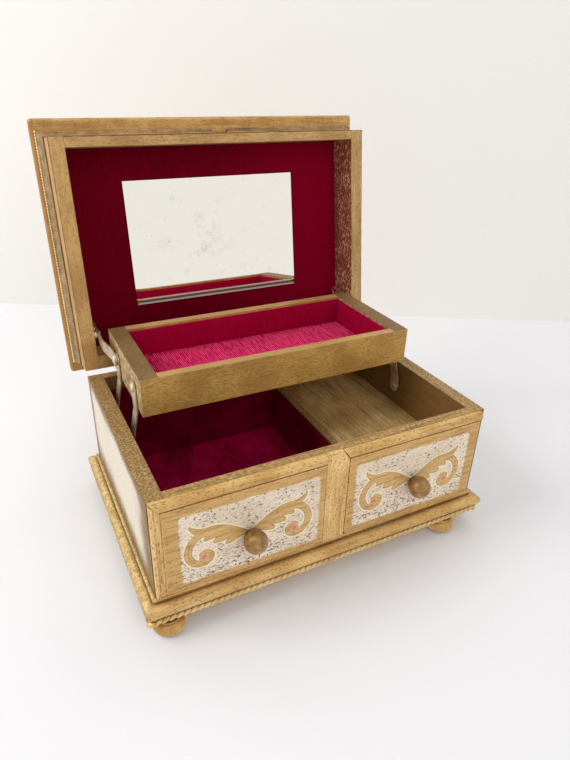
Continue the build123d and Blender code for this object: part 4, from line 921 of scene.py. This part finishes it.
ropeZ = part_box("base_moulding_front")[0].z + baseRopeLook["rise"]
ropeX = halfCase + baseRopeLook["stand"]
ropeNear, ropeFar = frontY - baseRopeLook["stand"], backY + baseRopeLook["stand"]
corners = [(-ropeX, ropeNear), (ropeX, ropeNear), (ropeX, ropeFar), (-ropeX, ropeFar)]
makeRope(
    "base_rope",
    [(x, y, ropeZ) for x, y in corners],
    [(0, 1), (1, 2), (2, 3), (3, 0)],
    baseRopeLook,
    "case",
    finishes["baseRope"],
)
stripLow, stripHigh = leanedBox("lid_moulding_sides")
ropeSides = [stripLow[0] + lidRopeLook["inset"], stripHigh[0] - lidRopeLook["inset"]]
ropeDepth = lidIn * (stripHigh[2] - lidRopeLook["below"])
ropeFoot = lidUp * (stripLow[1] + lidRopeLook["radius"]) + ropeDepth
ropeHead = lidUp * (leanedBox("lid_moulding_front")[1][1] - lidRopeLook["inset"]) + ropeDepth
makeRope(
    "lid_rope",
    [right * ropeSides[0] + ropeFoot, right * ropeSides[0] + ropeHead,
     right * ropeSides[1] + ropeHead, right * ropeSides[1] + ropeFoot],
    [(0, 1), (2, 3)],
    lidRopeLook,
    "lid",
    finishes["lidRope"],
)
print("ropes done")


# Rivets of the tray: a hollow domed head on a short shank
rivetLook = {
    "sides": 28,
    "head": 0.9 * mm,
    "radius": 3.0 * mm,
    "step": 1.4 * mm,
    "profile": [
        (0.3, 0.0), (0.35, 0.8), (0.88, 1.25), (0.9, 1.7), (0.7, 2.35),
        (0.3, 2.85), (0.0, 3.0), (0.0, 1.5), (-4.0, 1.5), (-4.0, 0.0),
    ],
}
rivetTree, rivetSource, rivetResult = startGeometryTree("rivetsOnPoints", (), ("Rivet",))
rivetWays = namedMarks(rivetTree, "outward", "FLOAT_VECTOR")
rivetHeads = spreadOnPoints(rivetSource["Geometry"], rivetSource["Rivet"], rivetWays)
endGeometryTree(rivetHeads, rivetSource, rivetResult)

low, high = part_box("tray_rivets")
rivetZ = (low.z + high.z) / 2
rivetPoints, outwardWays = [], []
for side, edgeX in ((-1, low.x), (1, high.x)):
    seat = edgeX - side * rivetLook["head"]
    rivetPoints.append((seat, high.y - rivetLook["radius"], rivetZ))
    rivetPoints.append((seat - side * rivetLook["step"], low.y + rivetLook["radius"], rivetZ))
    outwardWays += [(side, 0.0, 0.0)] * 2
trayRivets = newObject("domed_rivets", rivetPoints, [])
addWays(trayRivets, "outward", outwardWays)
rivetProfile = [(along * mm, radius * mm) for along, radius in reversed(rivetLook["profile"])]
rivet = turnedShape("rivet", rivetProfile, rivetLook["sides"])
runGeometryTree(trayRivets, rivetTree, {"Rivet": rivet, "Material": finishes["nickel"]})
bpy.data.objects.remove(rivet)
smooth(trayRivets, 50)
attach(trayRivets, "tray")
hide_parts("tray_rivets")
print("rivets done")


# Painted drawer panels: pale ground, mirrored leaf scrolls, gold border
scrollStem = [
    (1.5, -1.2, 1.4), (4.8, -0.2, 2.4), (9.8, 1.8, 3.8), (14.8, 4.5, 4.2), (19.8, 6.4, 4.5), (24.8, 7.9, 4.1),
    (29.8, 8.0, 3.3), (34.0, 6.0, 2.9), (37.4, 2.4, 2.8), (39.4, -2.4, 2.8), (39.3, -7.4, 2.8),
    (36.9, -12.0, 2.7), (32.6, -14.8, 2.6), (28.0, -14.4, 2.4), (25.3, -11.4, 2.2), (25.9, -8.0, 2.0),
    (29.0, -6.2, 1.9), (31.6, -7.6, 1.7),
]
scrollLeaves = [
    [(5.5, -0.6, 2.4), (10.5, -1.8, 3.4), (14.6, -4.2, 2.1)],
    [(12.5, 2.6, 3.8), (18.0, 1.2, 3.8), (22.2, -0.6, 2.1)],
    [(20.5, 6.0, 4.0), (25.6, 4.6, 3.0), (28.4, 2.8, 1.7)],
    [(30.0, 8.6, 3.2), (34.4, 11.0, 2.3), (37.6, 14.2, 1.2), (37.8, 16.2, 0.5)],
    [(30.4, -10.6, 2.9), (29.6, -10.0, 3.2), (29.0, -10.6, 2.9)],
]
scrollVeins = [
    [(2.4, -0.6, 0.2), (8.0, 0.6, 0.28), (13.0, -0.4, 0.28), (16.0, -3.2, 0.15)],
    [(4.0, -0.2, 0.2), (11.0, 2.6, 0.3), (17.0, 3.0, 0.3), (22.6, 0.4, 0.15)],
    [(6.0, 1.2, 0.2), (13.0, 4.8, 0.3), (20.0, 5.6, 0.3), (25.6, 4.0, 0.24), (28.4, 2.6, 0.15)],
    [
        (8.0, 3.2, 0.2), (15.0, 7.0, 0.3), (22.0, 9.2, 0.34), (29.0, 9.0, 0.36), (34.4, 6.2, 0.36),
        (38.0, 1.4, 0.34),
    ],
    [(38.0, 1.4, 0.34), (39.6, -4.8, 0.32), (37.8, -10.8, 0.3), (33.0, -14.8, 0.28), (28.2, -14.6, 0.2)],
    [(32.4, 4.6, 0.2), (35.6, 1.4, 0.26), (37.2, -3.4, 0.26), (36.8, -8.0, 0.2), (34.2, -12.0, 0.15)],
    [(5.0, -1.6, 0.2), (9.6, -2.8, 0.26), (13.6, -5.4, 0.15)],
    [(31.0, 10.2, 0.2), (34.6, 12.4, 0.25), (37.0, 15.0, 0.15)],
    [(26.8, -12.6, 0.2), (25.6, -9.6, 0.24), (28.4, -7.0, 0.24), (31.6, -8.2, 0.2)],
]
panelLook = {
    "gridStep": 0.45 * mm, "frontGap": 0.04 * mm, "thick": 0.3 * mm, "margin": 0.75 * mm,
    "groundBottom": 5.8, "groundTop": 56.4, "groundCorner": 3.0,
    # reach of the crevice darkening: partly a dark wash, partly painted shade
    "scrollHeight": 32.4, "dotAt": (29.8, -10.3), "dirt": 2.5 * mm, "relief": 0.25 * mm,
}
# in mm: where each mark ends and how softly; the leaf's own lines lie inside its edge
panelEdges = {
    "worn": (20.0, 14.0), "leaf": (0.0, 0.12), "halo": (0.6, 0.3), "vein": (0.15, 0.25), "eye": (3.4, 0.9),
    "dot": (1.7, 0.5), "lineOuter": (-0.5, 0.1), "rimOuter": (0.1, 0.12), "raised": (-0.3, 0.6),
}
panelRanges = {
    "line": (-1.05, -0.85), "rim": (-0.5, -0.3), "border": (-0.45, 0.45),
    "pits": (0.7, 0.745), "cracks": (0.68, 0.73), "borderPits": (0.6, 0.66),
}
panelTones = {
    "ground": tone(242, 226, 204), "groundDeep": tone(230, 210, 184), "groundBrushed": tone(200, 174, 150),
    "pit": tone(92, 58, 42), "halo": tone(248, 236, 212),
    "leaf": tone(220, 182, 116), "leafDeep": tone(198, 154, 88), "leafLine": tone(158, 112, 58),
    "leafRim": tone(246, 230, 196), "leafPit": tone(148, 100, 58),
    "eye": tone(232, 178, 140), "dot": tone(206, 118, 110),
    "border": tone(212, 170, 104), "borderDeep": tone(180, 134, 72), "borderPit": tone(128, 84, 46),
}


def strokeDistance(points, stroke):
    # distance in mm from each point to a row of discs that swell and shrink along the stroke
    control = np.array([stroke[0], *stroke, stroke[-1]], float)
    t = np.linspace(0, 1, 10, endpoint=False)[:, None]
    rows = []
    for p0, p1, p2, p3 in zip(control, control[1:], control[2:], control[3:]):
        bend = (2 * p0 - 5 * p1 + 4 * p2 - p3) * t**2 + (3 * p1 - p0 - 3 * p2 + p3) * t**3
        rows.append(p1 + 0.5 * ((p2 - p0) * t + bend))
    best = np.full(len(points), 1e3)
    for u, v, radius in np.concatenate([*rows, control[-1:]]):
        best = np.minimum(best, np.hypot(points[:, 0] - u, points[:, 1] - v) - radius)
    return best


def paintedPanel(name, node, body, groundLeft, groundRight, scrollX, material):
    low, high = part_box(node)
    margin, gridStep = panelLook["margin"], panelLook["gridStep"]
    x0, x1, z0, z1 = low.x + margin, high.x - margin, low.z + margin, high.z - margin
    nx, nz = int((x1 - x0) / gridStep), int((z1 - z0) / gridStep)
    gridX, gridZ = np.meshgrid(np.linspace(x0, x1, nx), np.linspace(z0, z1, nz), indexing="ij")
    frontPlane = np.full_like(gridX, low.y - panelLook["frontGap"])
    front = np.stack([gridX, frontPlane, gridZ], axis=-1).reshape(-1, 3)
    faces, ring = closedGrid(nx, nz)
    rear = front[ring]
    rear[:, 1] = low.y + panelLook["thick"]
    vertices = np.concatenate([front, rear])
    obj = newObject(name, vertices, faces, material)
    faceOutwards(obj)
    # everything below is in mm, from the middle of the scroll
    sideways = vertices[:, 0] / mm - scrollX
    upward = vertices[:, 2] / mm - (deckZ / mm + panelLook["scrollHeight"])
    folded = np.stack([np.abs(sideways), upward], axis=1)
    corner, bottom, top = [panelLook["ground" + end] for end in ("Corner", "Bottom", "Top")]
    height = upward + panelLook["scrollHeight"]
    middle, halfWide = (groundLeft + groundRight) / 2, (groundRight - groundLeft) / 2
    pastSide = np.abs(sideways + scrollX - middle) - halfWide + corner
    pastTop = np.abs(height - (top + bottom) / 2) - (top - bottom) / 2 + corner
    ground = np.hypot(np.maximum(pastSide, 0), np.maximum(pastTop, 0))
    ground += np.minimum(np.maximum(pastSide, pastTop), 0) - corner
    dotX, dotZ = panelLook["dotAt"]
    addMarks(
        obj,
        ground=ground,
        scroll=np.min([strokeDistance(folded, stroke) for stroke in (scrollStem, *scrollLeaves)], axis=0),
        vein=np.min([strokeDistance(folded, vein) for vein in scrollVeins], axis=0),
        dot=np.hypot(folded[:, 0] - dotX, folded[:, 1] - dotZ),
        height=height,
    )
    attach(obj, body)


def panelMaterial():
    material, tree, shader = startMaterial("paintedPanel")
    place = objectPlace(tree)

    def mark(label):
        return addNode(tree, "ShaderNodeAttribute", attribute_name=label).outputs["Fac"]

    def inside(value, part):
        edge, soft = panelEdges[part]
        return inverse(step(value, edge - soft, edge + soft))

    waver = times(minus(noise(place, 420.0, 2.0), 0.5), 0.8)
    halfWaver = times(waver, 0.5)
    brush = noise(stretched(place, (40, 500, 500)), 1.0, 4.0, 0.6)
    pitNoise = noise(stretched(place, (420, 900, 820)), 1.0, 2.0, 0.6, 0.4)
    crackNoise = noise(stretched(place, (150, 900, 520)), 1.0, 3.0, 0.6, 1.1)
    worn = times(inside(mark("height"), "worn"), 0.035)
    pitSum = plus(pitNoise, plus(times(noise(place, 85.0, 2.0), 0.22), worn))
    cracks = step(plus(crackNoise, times(worn, 2.4)), *panelRanges["cracks"])
    pits = calc("MAXIMUM", step(pitSum, *panelRanges["pits"]), cracks)
    ground = laid(panelTones["ground"], panelTones["groundDeep"], step(noise(place, 60.0, 3.0), 0.35, 0.65))
    ground = laid(ground, panelTones["groundBrushed"], step(brush, 0.42, 0.72), 0.45)
    scroll = plus(mark("scroll"), halfWaver)
    vein = inside(plus(mark("vein"), halfWaver), "vein")
    gold = laid(panelTones["leaf"], panelTones["leafDeep"], step(brush, 0.4, 0.68))
    gold = laid(gold, panelTones["leafLine"], vein, 0.3)
    innerLine = times(step(scroll, *panelRanges["line"]), inside(scroll, "lineOuter"))
    gold = laid(gold, panelTones["leafLine"], innerLine, 0.5)
    outerLine = times(step(scroll, *panelRanges["rim"]), inside(scroll, "rimOuter"))
    gold = laid(gold, panelTones["leafRim"], outerLine, 0.6)
    dotDistance = plus(mark("dot"), waver)
    gold = laid(gold, panelTones["eye"], inside(dotDistance, "eye"), 0.5)
    gold = laid(gold, panelTones["dot"], inside(dotDistance, "dot"), 0.85)
    gold = laid(gold, panelTones["leafPit"], pits, 0.5)
    ground = laid(ground, panelTones["pit"], pits, 0.85)
    colour = laid(ground, panelTones["halo"], inside(scroll, "halo"), 0.85)
    colour = laid(colour, gold, inside(scroll, "leaf"))
    ragged = minus(noise(stretched(place, (110, 110, 480)), 1.0, 4.0, 0.7), 0.5)
    border = laid(panelTones["border"], panelTones["borderDeep"], step(brush, 0.42, 0.7))
    borderPits = step(plus(pitNoise, worn), *panelRanges["borderPits"])
    border = laid(border, panelTones["borderPit"], borderPits, 0.55)
    colour = laid(colour, border, step(plus(mark("ground"), times(ragged, 4.0)), *panelRanges["border"]))
    # darker in crevices and along the frame: partly a dark wash, partly painted shade
    colour = laid(colour, brownRubAndShade, creviceWashAndShade(tree, panelLook["dirt"]), 0.6)
    raised = times(inside(scroll, "raised"), 0.8)
    relief = minus(plus(times(brush, 0.3), raised), plus(pits, times(vein, 0.4)))
    normal = bump(relief, panelLook["relief"], 0.4)
    setShader(shader, Base_Color=colour, Roughness=0.5, Metallic=0.1, Normal=normal)
    return material


finishes["paintedPanel"] = panelMaterial()
panelPlaces = {
    "painted_panel_left": ("false_drawer_front", "case", -103.8, -12.5, -59.8),
    "painted_panel_right": ("drawer_front", "drawer", 14.3, 107.6, 60.4),
}
for name, place in panelPlaces.items():
    paintedPanel(name, *place, finishes["paintedPanel"])
print("painted panels done")


# Floor, wall and light
stageLook = {
    "floor": tone(231, 231, 235), "wall": tone(243, 241, 236), "mottleShade": 0.985, "rough": 0.75,
    "wallFrom": (-0.1653, 0.5433), "wallTo": (0.5378, 0.1680), "wallHeight": 2.4, "reach": 3.0,
    "lampAim": 80 * mm,
}


def stageMaterial(name, colour, seeThrough=False):
    material, tree, shader = startMaterial(name)
    mottle = noise(objectPlace(tree), 3.0, 2.0)
    shade = laid(colour, (*[part * stageLook["mottleShade"] for part in colour[:3]], 1.0), mottle)
    setShader(shader, Base_Color=shade, Roughness=stageLook["rough"])
    if seeThrough:
        # the wall hides nothing when it is seen from behind
        clear = addNode(tree, "ShaderNodeBsdfTransparent")
        behind = addNode(tree, "ShaderNodeNewGeometry").outputs["Backfacing"]
        both = addNode(tree, "ShaderNodeMixShader", {0: behind, 1: shader.outputs[0], 2: clear.outputs[0]})
        result = next(node for node in tree.nodes if node.bl_idname == "ShaderNodeOutputMaterial")
        plug(result.inputs[0], both.outputs[0])
    return material


reach = stageLook["reach"]
floor = newObject(
    "floor",
    [(-reach, -reach, 0), (reach, -reach, 0), (reach, reach, 0), (-reach, reach, 0)],
    [(0, 1, 2, 3)],
    stageMaterial("floorPaint", stageLook["floor"]),
)
wallFrom, wallTo = [Vector((x, y + caseY, 0)) for x, y in (stageLook["wallFrom"], stageLook["wallTo"])]
wallWay = (wallTo - wallFrom).normalized() * reach
wallMiddle = (wallFrom + wallTo) / 2
wallTop = up * stageLook["wallHeight"]
wallFoot = [wallMiddle - wallWay, wallMiddle + wallWay]
wall = newObject(
    "wall",
    [*wallFoot, wallFoot[1] + wallTop, wallFoot[0] + wallTop],
    [(0, 1, 2, 3)],
    stageMaterial("wallPaint", stageLook["wall"], True),
)
wall.visible_shadow = False
floor.visible_glossy = False

lampLooks = {
    "window": {"place": (-1.2, 0.25, 1.15), "size": 0.8, "power": 14.0, "tone": (1.0, 0.985, 0.96)},
    "fill": {"place": (0.1, -1.4, 1.0), "size": 1.2, "power": 6.9, "tone": (1.0, 0.985, 0.96)},
    "far": {"place": (0.9, 0.3, 1.2), "size": 1.0, "power": 3.6, "tone": (1.0, 0.93, 0.85)},
}
lampAim = Vector((0, caseY, stageLook["lampAim"]))
for lampName, lamp in lampLooks.items():
    lampData = bpy.data.lights.new(lampName, "AREA")
    lampData.size = lamp["size"]
    lampData.energy = lamp["power"]
    lampData.color = lamp["tone"]
    lampObject = bpy.data.objects.new(lampName, lampData)
    scene.collection.objects.link(lampObject)
    turn = (lampAim - Vector(lamp["place"])).to_track_quat("-Z", "Y").to_matrix().to_4x4()
    lampObject.matrix_world = Matrix.Translation(lamp["place"]) @ turn
    lampObject.visible_glossy = lampName == "window"

skyLook = {"light": (0.96, 0.98, 1.0, 1.0), "strength": 0.56, "seen": tone(240, 238, 234)}
world = bpy.data.worlds.new("world")
world.use_nodes = True
scene.world = world
worldTree = world.node_tree
worldTree.nodes.clear()
rays = addNode(worldTree, "ShaderNodeLightPath").outputs
mirrored = calc("MAXIMUM", rays["Is Glossy Ray"], rays["Is Transmission Ray"])
seen = calc("MAXIMUM", rays["Is Camera Ray"], mirrored)
inputs = {"Color": skyLook["light"], "Strength": skyLook["strength"]}
ambient = addNode(worldTree, "ShaderNodeBackground", inputs)
pale = addNode(worldTree, "ShaderNodeBackground", {"Color": skyLook["seen"], "Strength": 1.0})
inputs = {0: seen, 1: ambient.outputs[0], 2: pale.outputs[0]}
bothSkies = addNode(worldTree, "ShaderNodeMixShader", inputs)
worldResult = addNode(worldTree, "ShaderNodeOutputWorld")
plug(worldResult.inputs[0], bothSkies.outputs[0])
print("stage and light done")
